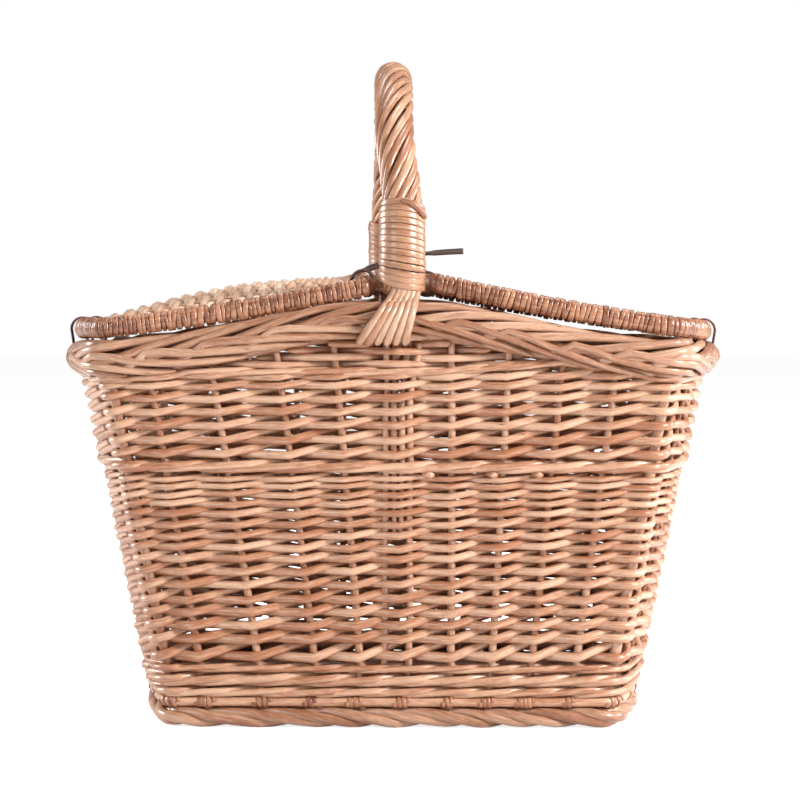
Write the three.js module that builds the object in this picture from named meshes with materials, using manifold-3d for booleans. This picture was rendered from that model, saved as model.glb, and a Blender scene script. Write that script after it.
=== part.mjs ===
// A willow picnic basket: tapered woven walls on a stake frame, a plaited rim that arches up
// under a fixed wrapped handle, and two woven lids on leather loops at the outer ends.
// Millimetres. +X is right, +Y is the back, +Z is up; the origin is on the ground under the middle.

import * as THREE from "three";
import { mergeVertices } from "three/addons/utils/BufferGeometryUtils.js";
import Module from "manifold-3d";

const wasm = await Module();
wasm.setup();

// Gaps that touching and moving pieces keep
const seatGap = 0.3;
const runningGap = 2.1;

// Plan of the wall, measured on the centre line of the stakes
const groundHalfLength = 152.5;
const groundHalfDepth = 117.6;
const lengthLean = 0.179;
const depthLean = 0.125;
const groundEndBow = 15.5;
const endBowLean = 0.035;
const sideBow = 2;
const cornerRadius = 10;
const faceSteps = 5;
const cornerSteps = 4;

// Rods and stakes
const stakeDiameter = 5.6;
const rodDiameter = 4.6;
const cornerPostDiameter = 8;
const sideStakePlaces = [0.06, 0.187, 0.314, 0.418, 0.628, 0.727, 0.822, 0.923];
const endStakes = 6;
const cornerPostInset = 0.5;

// Layers of the body, from the ground up
const footHeight = 14.5;
const footWidth = 19;
const footOffset = 0.5;
const edgeStickDiameter = 7.2;
const edgeStickOffset = 4;
const baseMatThickness = 9;
const bottomWaleHeight = 23.6;
const lowerRandingHeight = 127.7;
const middleWaleHeight = 16.7;
const upperRandingHeight = 45.7;
const topWaleHeight = 6.2;
const waleProud = 1.5;
const waleValley = 1;

// Rim border
const borderHeight = 23.7;
const borderWidth = 26;
const borderOffset = 4.6;
const rimArch = 27.5;
const rimArchReach = 195;
const packingReach = 150;

// Handle: its plane stands a few degrees off square, as the hand-set bow does
const handleRise = 205.6;
const handleMid = 0.95;
const handleSkew = -0.052;
const handleDiameter = 28;
const bowDiameter = 16.4;
const bowTipDiameter = 6;
const bowTipShare = 0.68;
const springRise = 16;
const archSteps = 20;
const handleSides = 12;
const rodSides = 8;
const linerGap = 0.4;

// Bound collars round the handle's feet
const collarRise = 61.2;
const collarTurns = 14;
const skeinWidth = 3;
const skeinThickness = 1;
const skeinGap = 1;
const stepsPerTurn = 12;

// Wrapping rods that leave the collar and go over the rim
const tailRods = 6;
const tailThickness = 4.8;
const tailGap = 0.9;
const tailTopWidth = 22;
const tailFootWidth = 38;
const tailTopShift = 1;
const tailFootShift = -19;

// Lids. The left one is crowned and its back inner corner is lifted; the right one is flatter.
const lidOverhang = 8;
const lidPlanRise = 9.35;
const lidRestGap = 0.9;
const lidBandWidth = 11;
const lidBandHeight = 14;
const lidHoopDiameter = 6.6;
const weaverPitch = 5.35;
const weaverThickness = 3.8;
const weaverLift = 1.6;
const weaveGroove = 1.6;
const lidSticks = 8;
const lidStickReach = 130;
const collarClearance = 2.4;
const lids = [
  { name: "left", hand: -1, slope: 0.146, sag: 4.2, twist: 10, camber: 15 },
  { name: "right", hand: 1, slope: 0.175, sag: 3.2, twist: -3, camber: 2 },
];

// Leather and buckle
const leatherThickness = 2.6;
const strapWidth = 16;
const hingeLoopSpread = 38;
const hingeLoopWidth = 9;
const hingeLoopDepth = 15;
const buckleRod = 2.4;
const buckleReach = 11;
const buckleInnerWidth = 18;
const buckleX = 0;
const buckleRise = 12.5;
const prongDiameter = 2;
const foldX = 10.5;
const foldRadius = 3.4;
const tongueTip = 51.5;
const tongueRise = 24;

// Values that follow
const stakeRadius = stakeDiameter / 2;
const skinInner = stakeRadius + seatGap;
const skinOuter = skinInner + rodDiameter;
const edgeStickZ = footHeight + seatGap + edgeStickDiameter / 2;
const bottomWaleZ = edgeStickZ + edgeStickDiameter / 2 + seatGap;
const lowerRandingZ = bottomWaleZ + bottomWaleHeight + seatGap;
const middleWaleZ = lowerRandingZ + lowerRandingHeight + seatGap;
const upperRandingZ = middleWaleZ + middleWaleHeight + seatGap;
const topWaleZ = upperRandingZ + upperRandingHeight + seatGap;
const borderFootZ = topWaleZ + topWaleHeight + seatGap;
const borderZ = borderFootZ + borderHeight / 2;
const lidPlanHeight = borderZ + lidPlanRise;
const lidEndHeight = borderFootZ + borderHeight + lidRestGap;
const handleHeight = borderFootZ + borderHeight + handleRise;
const bowTipHeight = lowerRandingZ + bowTipShare * lowerRandingHeight;
const bowTaperTop = lidPlanHeight;
const collarFoot = borderFootZ + collarRise;
const handleRadius = handleDiameter / 2;
const collarInner = (handleRadius + seatGap) / Math.cos(Math.PI / stepsPerTurn);
const collarRadius = collarInner + skeinThickness;
const springHeight = collarFoot + springRise;

// Meshes from grids and booleans

function volumeOf(positions, faces) {
  let six = 0;
  for (const [a, b, c] of faces) {
    six += positions[a].dot(positions[b].clone().cross(positions[c]));
  }
  return six / 6;
}

function geometryOf(positions, faces) {
  const outward = volumeOf(positions, faces) > 0;
  const geometry = new THREE.BufferGeometry().setFromPoints(positions);
  geometry.setIndex(faces.flatMap(([a, b, c]) => (outward ? [a, b, c] : [a, c, b])));
  return geometry;
}

// How an open skin is closed at an end: by the triangles of its flat section, or by a fan from
// the middle of the end ring. Both give triangles in the order of the ring.
function flatCap(section) {
  const flat = section.map(([x, y]) => new THREE.Vector2(x, y));
  const sense = Math.sign(THREE.ShapeUtils.area(flat));
  return (positions, ring) =>
    THREE.ShapeUtils.triangulateShape(flat, []).map(([a, b, c]) => {
      const agrees = Math.sign(THREE.ShapeUtils.area([flat[a], flat[b], flat[c]])) === sense;
      return agrees ? [ring[a], ring[b], ring[c]] : [ring[a], ring[c], ring[b]];
    });
}

function fanCap(positions, ring) {
  const middle = new THREE.Vector3();
  for (const i of ring) middle.addScaledVector(positions[i], 1 / ring.length);
  positions.push(middle);
  return ring.map((at, j) => [positions.length - 1, at, ring[(j + 1) % ring.length]]);
}

// A skin over rings of points, joined ring to ring. Without a cap the run is closed: its last
// ring is joined to its first.
function skin(rings, cap) {
  const positions = rings.flat();
  const around = rings[0].length;
  const faces = [];
  const runs = cap ? rings.length - 1 : rings.length;
  for (let i = 0; i < runs; i += 1) {
    const here = i * around;
    const next = ((i + 1) % rings.length) * around;
    for (let j = 0; j < around; j += 1) {
      const k = (j + 1) % around;
      faces.push([here + j, here + k, next + k], [here + j, next + k, next + j]);
    }
  }
  if (cap) {
    const first = rings[0].map((_, j) => j);
    const last = first.map((j) => (rings.length - 1) * around + j);
    for (const [a, b, c] of cap(positions, first)) faces.push([c, b, a]);
    faces.push(...cap(positions, last));
  }
  return geometryOf(positions, faces);
}

function manifoldOf(geometry) {
  const bare = geometry.clone();
  bare.deleteAttribute("normal");
  bare.deleteAttribute("uv");
  const merged = mergeVertices(bare, 1e-4);
  return new wasm.Manifold(
    new wasm.Mesh({
      numProp: 3,
      vertProperties: new Float32Array(merged.attributes.position.array),
      triVerts: new Uint32Array(merged.index.array),
    }),
  );
}

function geometryFrom(manifold) {
  const mesh = manifold.getMesh();
  const geometry = new THREE.BufferGeometry();
  geometry.setAttribute("position", new THREE.BufferAttribute(mesh.vertProperties, 3));
  geometry.setIndex(new THREE.BufferAttribute(mesh.triVerts, 1));
  return geometry;
}

function joined(geometries) {
  return geometryFrom(geometries.map(manifoldOf).reduce((all, one) => all.add(one)));
}

function cut(geometry, tools) {
  const body = manifoldOf(geometry);
  return geometryFrom(tools.map(manifoldOf).reduce((left, tool) => left.subtract(tool), body));
}

// Sections

// An oval of flat facets whose outermost facets touch the given width and height
function oval(across, up, width, height, sides) {
  const points = [];
  const grow = 1 / Math.cos(Math.PI / sides);
  for (let k = 0; k < sides; k += 1) {
    const angle = ((k + 0.5) * 2 * Math.PI) / sides;
    points.push([
      across + (width / 2) * grow * Math.cos(angle),
      up + (height / 2) * grow * Math.sin(angle),
    ]);
  }
  return points;
}

// A flat band with one rounded ridge for each row of waling
function waleSection(foot, height, rows) {
  const row = height / rows;
  const points = [[skinInner, foot], [skinOuter + waleProud - waleValley, foot]];
  for (let k = 0; k < rows; k += 1) {
    points.push([skinOuter + waleProud, foot + (k + 0.5) * row]);
    points.push([skinOuter + waleProud - waleValley, foot + (k + 1) * row]);
  }
  points.push([skinInner, foot + height]);
  return points;
}

function bandSection(foot, height) {
  return [
    [skinInner, foot],
    [skinOuter, foot],
    [skinOuter, foot + height],
    [skinInner, foot + height],
  ];
}

// The wall

const halfLength = (z) => groundHalfLength + lengthLean * z;
const halfDepth = (z) => groundHalfDepth + depthLean * z;
const endBow = (z) => groundEndBow + endBowLean * z;

// A point on the wall at height z, `out` outside the stakes' centre line. Sides run 0 front,
// 1 right end, 2 back, 3 left end, anticlockwise from above. Along a side `s` goes from 0 to 1,
// and from 1 to 2 it turns the corner that ends the side.
function wallPoint(side, s, z, out) {
  const x = halfLength(z) - cornerRadius;
  const y = halfDepth(z) - cornerRadius;
  const corners = [[-x, -y], [x, -y], [x, y], [-x, y]];
  const line = (k) => {
    const [x0, y0] = corners[k % 4];
    const [x1, y1] = corners[(k + 1) % 4];
    const along = new THREE.Vector2(x1 - x0, y1 - y0);
    const outward = new THREE.Vector2(along.y, -along.x).normalize();
    return { start: new THREE.Vector2(x0, y0), along, outward, bow: k % 2 ? endBow(z) : sideBow };
  };
  const normalAt = ({ along, outward, bow }, t) => {
    const tangent = along.clone().addScaledVector(outward, bow * 4 * (1 - 2 * t));
    return new THREE.Vector2(tangent.y, -tangent.x).normalize();
  };
  const here = line(side);
  const t = Math.min(s, 1);
  const point = here.start.clone().addScaledVector(here.along, t);
  point.addScaledVector(here.outward, here.bow * 4 * t * (1 - t));
  const normal = normalAt(here, t);
  if (s > 1) {
    const next = normalAt(line(side + 1), 0);
    const turn = Math.acos(THREE.MathUtils.clamp(normal.dot(next), -1, 1));
    normal.rotateAround(new THREE.Vector2(), turn * (s - 1));
  }
  point.addScaledVector(normal, cornerRadius + out);
  return new THREE.Vector3(point.x, point.y, z);
}

function rimLift(x) {
  if (Math.abs(x) > rimArchReach) return 0;
  return (rimArch * (1 + Math.cos((Math.PI * x) / rimArchReach))) / 2;
}

// A place under the rim: the lift is that of the point's own distance along the basket
function rimPoint(side, s, z, out) {
  const lift = rimLift(wallPoint(side, s, z, 0).x);
  return wallPoint(side, s, z + lift, out);
}

// Places round the wall: [side, s] pairs, with a pair at every stake of the ends
function stations(alongFace) {
  const places = [];
  for (let side = 0; side < 4; side += 1) {
    const steps = side % 2 ? endStakes + 1 : alongFace;
    for (let k = 0; k <= steps; k += 1) places.push([side, k / steps]);
    for (let k = 1; k < cornerSteps; k += 1) places.push([side, 1 + k / cornerSteps]);
  }
  return places;
}

const plainStations = stations(faceSteps);
const rimStations = stations(3 * faceSteps);

const wallHoop = (section) =>
  skin(plainStations.map(([side, s]) => section.map(([out, z]) => wallPoint(side, s, z, out))));
const rimHoop = (section) =>
  skin(rimStations.map(([side, s]) => section.map(([out, z]) => rimPoint(side, s, z, out))));

// A round rod through points, with one radius for each point. `flat` is a direction that every
// section contains.
function tube(points, radii, sides, flat) {
  const section = oval(0, 0, 2, 2, sides);
  const rings = points.map((point, i) => {
    const before = points[Math.max(i - 1, 0)];
    const after = points[Math.min(i + 1, points.length - 1)];
    const along = after.clone().sub(before).normalize();
    const across = flat.clone().addScaledVector(along, -flat.dot(along)).normalize();
    const up = along.clone().cross(across);
    return section.map(([u, v]) =>
      point.clone().addScaledVector(across, u * radii[i]).addScaledVector(up, v * radii[i]),
    );
  });
  return skin(rings, flatCap(section));
}

const rod = (from, to, radius, flat = new THREE.Vector3(1, 0, 0)) =>
  tube([from, to], [radius, radius], rodSides, flat);

// Base and body

function slab(foot, height, out) {
  const loop = (z) => plainStations.map(([side, s]) => wallPoint(side, s, z, out));
  const rings = [loop(foot), loop(foot + height)];
  return skin(rings, fanCap);
}

const stakeTop = borderFootZ - 1.2;

function stakeRod(side, s, radius, out, foot) {
  const start = wallPoint(side, s, foot, out);
  const facing = wallPoint(side, s, foot, out + 1).sub(start);
  return rod(start, rimPoint(side, s, stakeTop, out), radius, facing);
}

// The base hoop with the stakes cut and wrapped onto it. The middle stake of the front and of
// the back is left out: the foot of the handle bow and its two liners stand there.
function stakeCage() {
  const pieces = [
    wallHoop(oval(edgeStickOffset, edgeStickZ, edgeStickDiameter, edgeStickDiameter, rodSides)),
  ];
  const endStakePlaces = Array.from({ length: endStakes }, (_, k) => (k + 1) / (endStakes + 1));
  for (let side = 0; side < 4; side += 1) {
    for (const place of side % 2 ? endStakePlaces : sideStakePlaces) {
      pieces.push(stakeRod(side, place, stakeRadius, 0, edgeStickZ));
    }
  }
  return joined(pieces);
}

// The extra rows that carry the rim up in the middle of a long side
function packing(side) {
  const steps = 12;
  const rings = [];
  for (let k = 0; k <= steps; k += 1) {
    const along = ((2 * k) / steps - 1) * packingReach;
    const s = 0.5 + along / (2 * (halfLength(borderFootZ) - cornerRadius));
    const ring = [skinInner, skinOuter].map((out) => wallPoint(side, s, borderFootZ, out));
    for (const out of [skinOuter, skinInner]) {
      ring.push(rimPoint(side, s, borderFootZ - seatGap, out));
    }
    rings.push(ring);
  }
  return skin(rings, fanCap);
}

// Handle

const handleX = (y) => handleMid + handleSkew * y;
const handlePlane = new THREE.Vector3(1, -handleSkew, 0).normalize();

function bowRadius(z) {
  const share = THREE.MathUtils.clamp((z - bowTipHeight) / (bowTaperTop - bowTipHeight), 0, 1);
  return (bowTipDiameter + (bowDiameter - bowTipDiameter) * share) / 2;
}

// The foot of the bow leans with the wall, close inside the weave. `end` is -1 front, 1 back.
function legPoint(z, end) {
  const y = end * (halfDepth(z) + sideBow + stakeRadius - bowRadius(z));
  return new THREE.Vector3(handleX(y), y, z);
}

const archHalfSpan = legPoint(springHeight, 1).y;
const archRise = handleHeight - handleRadius - springHeight;
const taperHeights = [0, 1 / 3, 2 / 3, 1].map((share) =>
  THREE.MathUtils.lerp(bowTipHeight, bowTaperTop, share),
);
const legHeights = [...taperHeights, collarFoot, springHeight];
const handleLine = legHeights.map((z) => legPoint(z, -1));
for (let k = 1; k < archSteps; k += 1) {
  const angle = (Math.PI * k) / archSteps;
  const y = -archHalfSpan * Math.cos(angle);
  handleLine.push(new THREE.Vector3(handleX(y), y, springHeight + archRise * Math.sin(angle)));
}
handleLine.push(...legHeights.map((z) => legPoint(z, 1)).reverse());
const footPoint = legHeights.indexOf(collarFoot);
const wrapLine = handleLine.slice(footPoint, handleLine.length - footPoint);

const handleBow = tube(
  handleLine,
  handleLine.map((p) => bowRadius(p.z)),
  handleSides,
  handlePlane,
);

// The wrapping rods as one sleeve round the bow
function handleSleeve() {
  const outer = tube(wrapLine, wrapLine.map(() => handleRadius), handleSides, handlePlane);
  const bore = tube(
    handleLine,
    handleLine.map(() => bowDiameter / 2 + seatGap + 0.2),
    handleSides,
    handlePlane,
  );
  return cut(outer, [bore]);
}

// A place on a line of points, at a distance from its start, and the smoothed direction there
function placeOn(line, distance) {
  const heading = (i) => line[i + 1].clone().sub(line[Math.max(i - 1, 0)]).normalize();
  let i = 0;
  let rest = distance;
  while (rest > line[i].distanceTo(line[i + 1])) {
    rest -= line[i].distanceTo(line[i + 1]);
    i += 1;
  }
  const share = rest / line[i].distanceTo(line[i + 1]);
  const centre = line[i].clone().lerp(line[i + 1], share);
  return { centre, along: heading(i).lerp(heading(i + 1), share).normalize() };
}

// The collar: one flat skein wound up the handle's foot in a helix
function collarWinding(end) {
  const line = end < 0 ? wrapLine : wrapLine.slice().reverse();
  const pitch = skeinWidth + skeinGap;
  const corners = [[collarInner, -1], [collarRadius, -1], [collarRadius, 1], [collarInner, 1]];
  const rings = [];
  for (let i = 0; i <= collarTurns * stepsPerTurn; i += 1) {
    const angle = (-2 * Math.PI * (i + 0.5)) / stepsPerTurn;
    const { centre, along } = placeOn(line, skeinWidth / 2 + (pitch * i) / stepsPerTurn);
    const radial = handlePlane.clone().multiplyScalar(Math.cos(angle));
    radial.addScaledVector(along.clone().cross(handlePlane), Math.sin(angle));
    rings.push(
      corners.map(([r, edge]) =>
        centre.clone().addScaledVector(radial, r).addScaledVector(along, (edge * skeinWidth) / 2),
      ),
    );
  }
  let least = Infinity;
  for (let i = stepsPerTurn; i < rings.length; i += 1) {
    for (const [low, high] of [[3, 0], [2, 1]]) {
      least = Math.min(least, rings[i - stepsPerTurn][low].distanceTo(rings[i][high]));
    }
  }
  console.log("least gap between turns of the collar", least.toFixed(2));
  return skin(rings, fanCap);
}

// The wrapping rods below the collar, side by side: they lean over the rim and tuck under it.
// Their path keeps an even gap to the rim's eight facets.
function wrapTails(end) {
  const section = [];
  for (let k = 0; k < tailRods; k += 1) {
    section.push([k / tailRods, 0.6], [(k + 0.3) / tailRods, 1], [(k + 0.7) / tailRods, 1]);
  }
  section.push([1, 0.6], [1, 0], [0, 0]);
  const facet = 360 / rodSides;
  const route = [1.5, 0.5, -0.5, -1.3].map((turns) => {
    const offFacet = (turns - Math.round(turns)) * facet;
    const stretch = 1 / Math.cos(THREE.MathUtils.degToRad(offFacet));
    const angle = THREE.MathUtils.degToRad(turns * facet);
    return [stretch * Math.cos(angle), stretch * Math.sin(angle)];
  });
  const rings = route.map(([outward, up], i) => {
    const share = i / (route.length - 1);
    const width = THREE.MathUtils.lerp(tailTopWidth, tailFootWidth, share);
    const shift = THREE.MathUtils.lerp(tailTopShift, tailFootShift, share);
    return section.map(([u, h]) => {
      const across = shift + (u - 0.5) * width;
      const rimCentre = borderZ + rimLift(handleX(end * archHalfSpan) - end * across);
      const over = tailGap + h * tailThickness;
      const height = rimCentre + (borderHeight / 2 + over) * up;
      const out = borderOffset + (borderWidth / 2 + over) * outward;
      const y = end * (halfDepth(height) + sideBow + out);
      return new THREE.Vector3(handleX(y) - end * across, y, height);
    });
  });
  return skin(rings, flatCap(section));
}

// Lids. `outboard` is the distance from the middle of the basket towards the lid's hinge.

const lidHalfDepth = halfDepth(lidPlanHeight) + lidOverhang;
const lidEnd = halfLength(lidPlanHeight) + endBow(lidPlanHeight) + lidOverhang;

function innerEdge(lid, y) {
  return lid.hand * handleX(y) + collarRadius + collarClearance;
}

// The corner where a lid's inner edge meets its front or back edge, `inset` inside the outline
function innerCorner(lid, inset, end) {
  let y = end * (lidHalfDepth - inset);
  const reach = halfLength(lidPlanHeight) - cornerRadius;
  for (let pass = 0; pass < 3; pass += 1) {
    const s = 0.5 + (innerEdge(lid, y) + inset) / (2 * reach);
    y = end * -wallPoint(0, s, lidPlanHeight, lidOverhang - inset).y;
  }
  return [innerEdge(lid, y) + inset, y];
}

// The lid's outline, `inset` inside its edge, as points that run from the front inner corner
// out round the hinge end and back to the inner edge
function lidLoop(lid, inset) {
  const out = lidOverhang - inset;
  const reach = halfLength(lidPlanHeight) - cornerRadius;
  const front = innerCorner(lid, inset, -1);
  const back = innerCorner(lid, inset, 1);
  const loop = [front];
  const follow = (side, s) => {
    const point = wallPoint(side, s, lidPlanHeight, out);
    loop.push([point.x, point.y]);
  };
  const edgeSteps = 4;
  const endSteps = 8;
  for (let k = 1; k <= edgeSteps; k += 1) {
    follow(0, THREE.MathUtils.lerp(0.5 + front[0] / (2 * reach), 1, k / edgeSteps));
  }
  for (let k = 1; k < cornerSteps; k += 1) follow(0, 1 + k / cornerSteps);
  for (let k = 0; k <= endSteps; k += 1) follow(1, k / endSteps);
  for (let k = 1; k < cornerSteps; k += 1) follow(1, 1 + k / cornerSteps);
  for (let k = 0; k < edgeSteps; k += 1) {
    follow(2, THREE.MathUtils.lerp(0, 0.5 - back[0] / (2 * reach), k / edgeSteps));
  }
  loop.push(back);
  for (const share of [0.25, 0.5, 0.75]) {
    const y = THREE.MathUtils.lerp(back[1], front[1], share);
    loop.push([innerEdge(lid, y) + inset, y]);
  }
  return loop;
}

// Height of the underside of a lid's edge band, with the crown and twist of the whole lid
function lidFoot(lid, outboard, y) {
  const length = lidEnd - innerEdge(lid, 0);
  const share = THREE.MathUtils.clamp((lidEnd - outboard) / length, 0, 1);
  const across = y / lidHalfDepth;
  return (
    lidEndHeight +
    lid.slope * (lidEnd - outboard) -
    lid.sag * 4 * share * (1 - share) +
    lid.twist * share * (0.5 + across / 2) +
    lid.camber * Math.sin(Math.PI * share) * Math.max(0, 1 - across * across)
  );
}

function lidPoint(lid, [outboard, y], up) {
  return new THREE.Vector3(lid.hand * outboard, y, lidFoot(lid, outboard, y) + up);
}

// A section of [inset, height] points carried round the lid's edge
function lidRing(lid, section) {
  const loops = section.map(([inset]) => lidLoop(lid, inset));
  return skin(
    loops[0].map((_, i) => section.map(([, up], j) => lidPoint(lid, loops[j][i], up))),
  );
}

// The binding is a channel of skein that holds the hoop and the edge of the mat
const bindingWall = 1.5;
const bindingLip = 1.2;
function bindingSection() {
  const w = lidBandWidth;
  const h = lidBandHeight;
  const lip = bindingLip;
  const t = bindingWall;
  return [
    [w, lip],
    [3, 0],
    [0, 4],
    [0, h - 4],
    [3, h],
    [w, h - lip],
    [w, h - lip - t],
    [3.8, h - t - 0.2],
    [t + 0.1, h - 4.6],
    [t + 0.1, 4.6],
    [3.8, t + 0.2],
    [w, lip + t],
  ];
}

const hoopInset = 5.4;

// Where a lid turns: the middle of its end band at the leather loops
function hingeLine(lid) {
  const s = 0.5 + hingeLoopSpread / (2 * (halfDepth(lidPlanHeight) - cornerRadius));
  const outboard = wallPoint(1, s, lidPlanHeight, lidOverhang - lidBandWidth / 2).x;
  return { outboard, z: lidFoot(lid, outboard, hingeLoopSpread) + lidBandHeight / 2 };
}

// Leather loops round an edge band: the middle of the inner band is where the straps hang
const loopRadius = Math.hypot(lidBandWidth / 2, lidBandHeight / 2 - bindingLip) + runningGap;

function strapLine(lid) {
  const outboard = innerEdge(lid, 0) + lidBandWidth / 2;
  return { outboard, z: lidFoot(lid, outboard, 0) + lidBandHeight / 2 };
}

// Room in a mat for a leather loop, and for the play of the loop round the band
function loopRoom(lid, { outboard, z }, y, width) {
  const radius = loopRadius + leatherThickness + 0.8;
  const room = new THREE.CylinderGeometry(radius, radius, width + 2, 20);
  return room.translate(lid.hand * outboard, y, z);
}

// Plain weave. Weavers run from front to back; each one rises over a stick and dips under the
// next, and the weaver beside it does the opposite. A groove parts it from its neighbours.
function weave(lid) {
  const first = innerEdge(lid, 0) + lidBandWidth + 0.5;
  const stick = (j) => lidStickReach * ((2 * j) / (lidSticks - 1) - 1);
  const sticks = Array.from({ length: lidSticks }, (_, j) => stick(j));
  const places = [-lidHalfDepth, ...sticks, lidHalfDepth];
  const last = 2 * Math.ceil((lidEnd - lidBandWidth - first) / weaverPitch) + 1;
  const rings = [];
  for (let k = -5; k <= last; k += 1) {
    const half = (k % 2 ? weaveGroove : weaverThickness) / 2;
    const outboard = first + (k * weaverPitch) / 2;
    const centre = places.map((y, j) => {
      const free = k % 2 || Math.abs(y) > lidStickReach;
      const over = (j + 1 + k / 2) % 2 ? -weaverLift : weaverLift;
      return [y, lidBandHeight / 2 + (free ? 0 : over)];
    });
    const top = centre.map(([y, up]) => lidPoint(lid, [outboard, y], up + half));
    const bottom = centre.map(([y, up]) => lidPoint(lid, [outboard, y], up - half));
    rings.push([...top, ...bottom.reverse()]);
  }
  return skin(rings, fanCap);
}

function lidMat(lid) {
  const outline = lidLoop(lid, hoopInset + lidHoopDiameter / 2 + 0.5);
  const level = (z) => outline.map(([x, y]) => new THREE.Vector3(lid.hand * x, y, z));
  const inside = manifoldOf(skin([level(borderFootZ), level(handleHeight)], fanCap));
  const trimmed = manifoldOf(weave(lid)).intersect(inside);
  return cut(geometryFrom(trimmed), [
    loopRoom(lid, hingeLine(lid), -hingeLoopSpread, hingeLoopWidth),
    loopRoom(lid, hingeLine(lid), hingeLoopSpread, hingeLoopWidth),
    loopRoom(lid, strapLine(lid), 0, strapWidth),
  ]);
}

// Leather

// An outline drawn in X and Z, carried across the basket by `width` with its middle at y
function acrossBasket(shape, width, y, curveSegments) {
  const geometry = new THREE.ExtrudeGeometry(shape, {
    depth: width,
    bevelEnabled: false,
    curveSegments,
  });
  return geometry.rotateX(Math.PI / 2).translate(0, y + width / 2, 0);
}

// A loop that holds the lid's end band and passes through the rim. `spare` grows it all round.
function hingeLoop(lid, end, spare) {
  const { outboard, z } = hingeLine(lid);
  const x = lid.hand * outboard;
  const outer = loopRadius + leatherThickness + spare;
  const inner = loopRadius - spare;
  const foot = z - loopRadius - hingeLoopDepth;
  const outline = (radius, low) => {
    const path = new THREE.Shape();
    path.moveTo(x - radius, low);
    path.lineTo(x + radius, low);
    path.lineTo(x + radius, z);
    path.absarc(x, z, radius, 0, Math.PI, false);
    path.closePath();
    return path;
  };
  const shape = outline(outer, foot - leatherThickness / 2 - spare);
  shape.holes.push(outline(inner, foot + leatherThickness / 2 + spare));
  return acrossBasket(shape, hingeLoopWidth + 2 * spare, end * hingeLoopSpread, 6);
}

// A strap of even thickness along a route in X and Z
function strap(route, thickness, width) {
  const points = route.map(([x, z]) => new THREE.Vector2(x, z));
  const sides = [[], []];
  points.forEach((point, i) => {
    const before = points[Math.max(i - 1, 0)];
    const after = points[Math.min(i + 1, points.length - 1)];
    const into = point.clone().sub(before);
    const from = after.clone().sub(point);
    const along = into.normalize().add(from.normalize()).normalize();
    const first = i === 0 || i === points.length - 1;
    const bend = first ? 1 : Math.max(0.6, Math.abs(along.dot(into)));
    const offset = new THREE.Vector2(-along.y, along.x).multiplyScalar(thickness / 2 / bend);
    sides[0].push(point.clone().add(offset));
    sides[1].unshift(point.clone().sub(offset));
  });
  return acrossBasket(new THREE.Shape([...sides[0], ...sides[1]]), width, 0, 1);
}

// A strap's loop round the band at a lid's inner edge, with the strap's run sewn into it. The run
// leaves the top of the loop and follows the route.
function loopedStrap(lid, route, width) {
  const { outboard, z } = strapLine(lid);
  const x = lid.hand * outboard;
  const ring = new THREE.Shape().absarc(x, z, loopRadius + leatherThickness, 0, 2 * Math.PI);
  ring.holes.push(new THREE.Path().absarc(x, z, loopRadius, 0, 2 * Math.PI));
  const start = [x, z + loopRadius + leatherThickness / 2];
  return joined([
    acrossBasket(ring, width, 0, 10),
    strap([start, ...route], leatherThickness, width),
  ]);
}

// Places on a circle, for the fold of a strap
const around = (x, z, radius, angles) =>
  angles.map((degrees) => {
    const angle = THREE.MathUtils.degToRad(degrees);
    return [x + radius * Math.cos(angle), z + radius * Math.sin(angle)];
  });

// The buckle strap folds back under the buckle's bar, and is slit there for the prong's eye
const buckleZ = strapLine(lids[0]).z + buckleRise;
const barRoom = buckleRod / 2 + seatGap + 0.2;
const eyeWidth = 2.4;

function buckleStrap() {
  const fold = barRoom + leatherThickness / 2;
  const { outboard, z } = strapLine(lids[0]);
  const top = z + loopRadius + leatherThickness / 2;
  const route = [
    [-outboard + 7, THREE.MathUtils.lerp(top, buckleZ + fold, 0.22)],
    [-outboard + 15, THREE.MathUtils.lerp(top, buckleZ + fold, 0.66)],
    ...around(buckleX, buckleZ, fold, [92, 50, 8, -34, -76]),
    [buckleX - 6, buckleZ - fold - 0.4],
  ];
  const slit = new THREE.BoxGeometry(2 * fold + 4, eyeWidth + 0.8, 2 * fold + 4);
  slit.translate(buckleX + 1.4, 0, buckleZ);
  const tailSlit = new THREE.BoxGeometry(2 * fold + 8, eyeWidth + 1.6, fold + 1);
  tailSlit.translate(buckleX - 2, 0, buckleZ - barRoom - fold / 2);
  return cut(loopedStrap(lids[0], route, strapWidth), [slit, tailSlit]);
}

// The tongue strap rises beside the handle, folds back and ends in the air over its own lid
function tongueStrap() {
  const { outboard, z } = strapLine(lids[1]);
  const foldZ = z + tongueRise - foldRadius - 1.8;
  const route = [
    [outboard - 5.5, z + loopRadius + leatherThickness / 2 + 0.8],
    ...around(foldX + foldRadius, foldZ, foldRadius, [215, 180, 145, 112]),
    [outboard, z + tongueRise - 0.6],
    [tongueTip, z + tongueRise + 0.8],
  ];
  return loopedStrap(lids[1], route, strapWidth - 1);
}

// The buckle: a rectangular wire frame that hangs from its bar in the strap's fold
function buckleFrame() {
  const half = (buckleInnerWidth + buckleRod) / 2;
  const r = buckleRod / 2;
  const at = (y, z) => new THREE.Vector3(buckleX, y, z);
  const low = buckleZ - buckleReach;
  return joined([
    rod(at(-half, buckleZ), at(half, buckleZ), r),
    rod(at(-half, low), at(half, low), r),
    rod(at(-half, low), at(-half, buckleZ), r),
    rod(at(half, low), at(half, buckleZ), r),
  ]);
}

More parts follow.
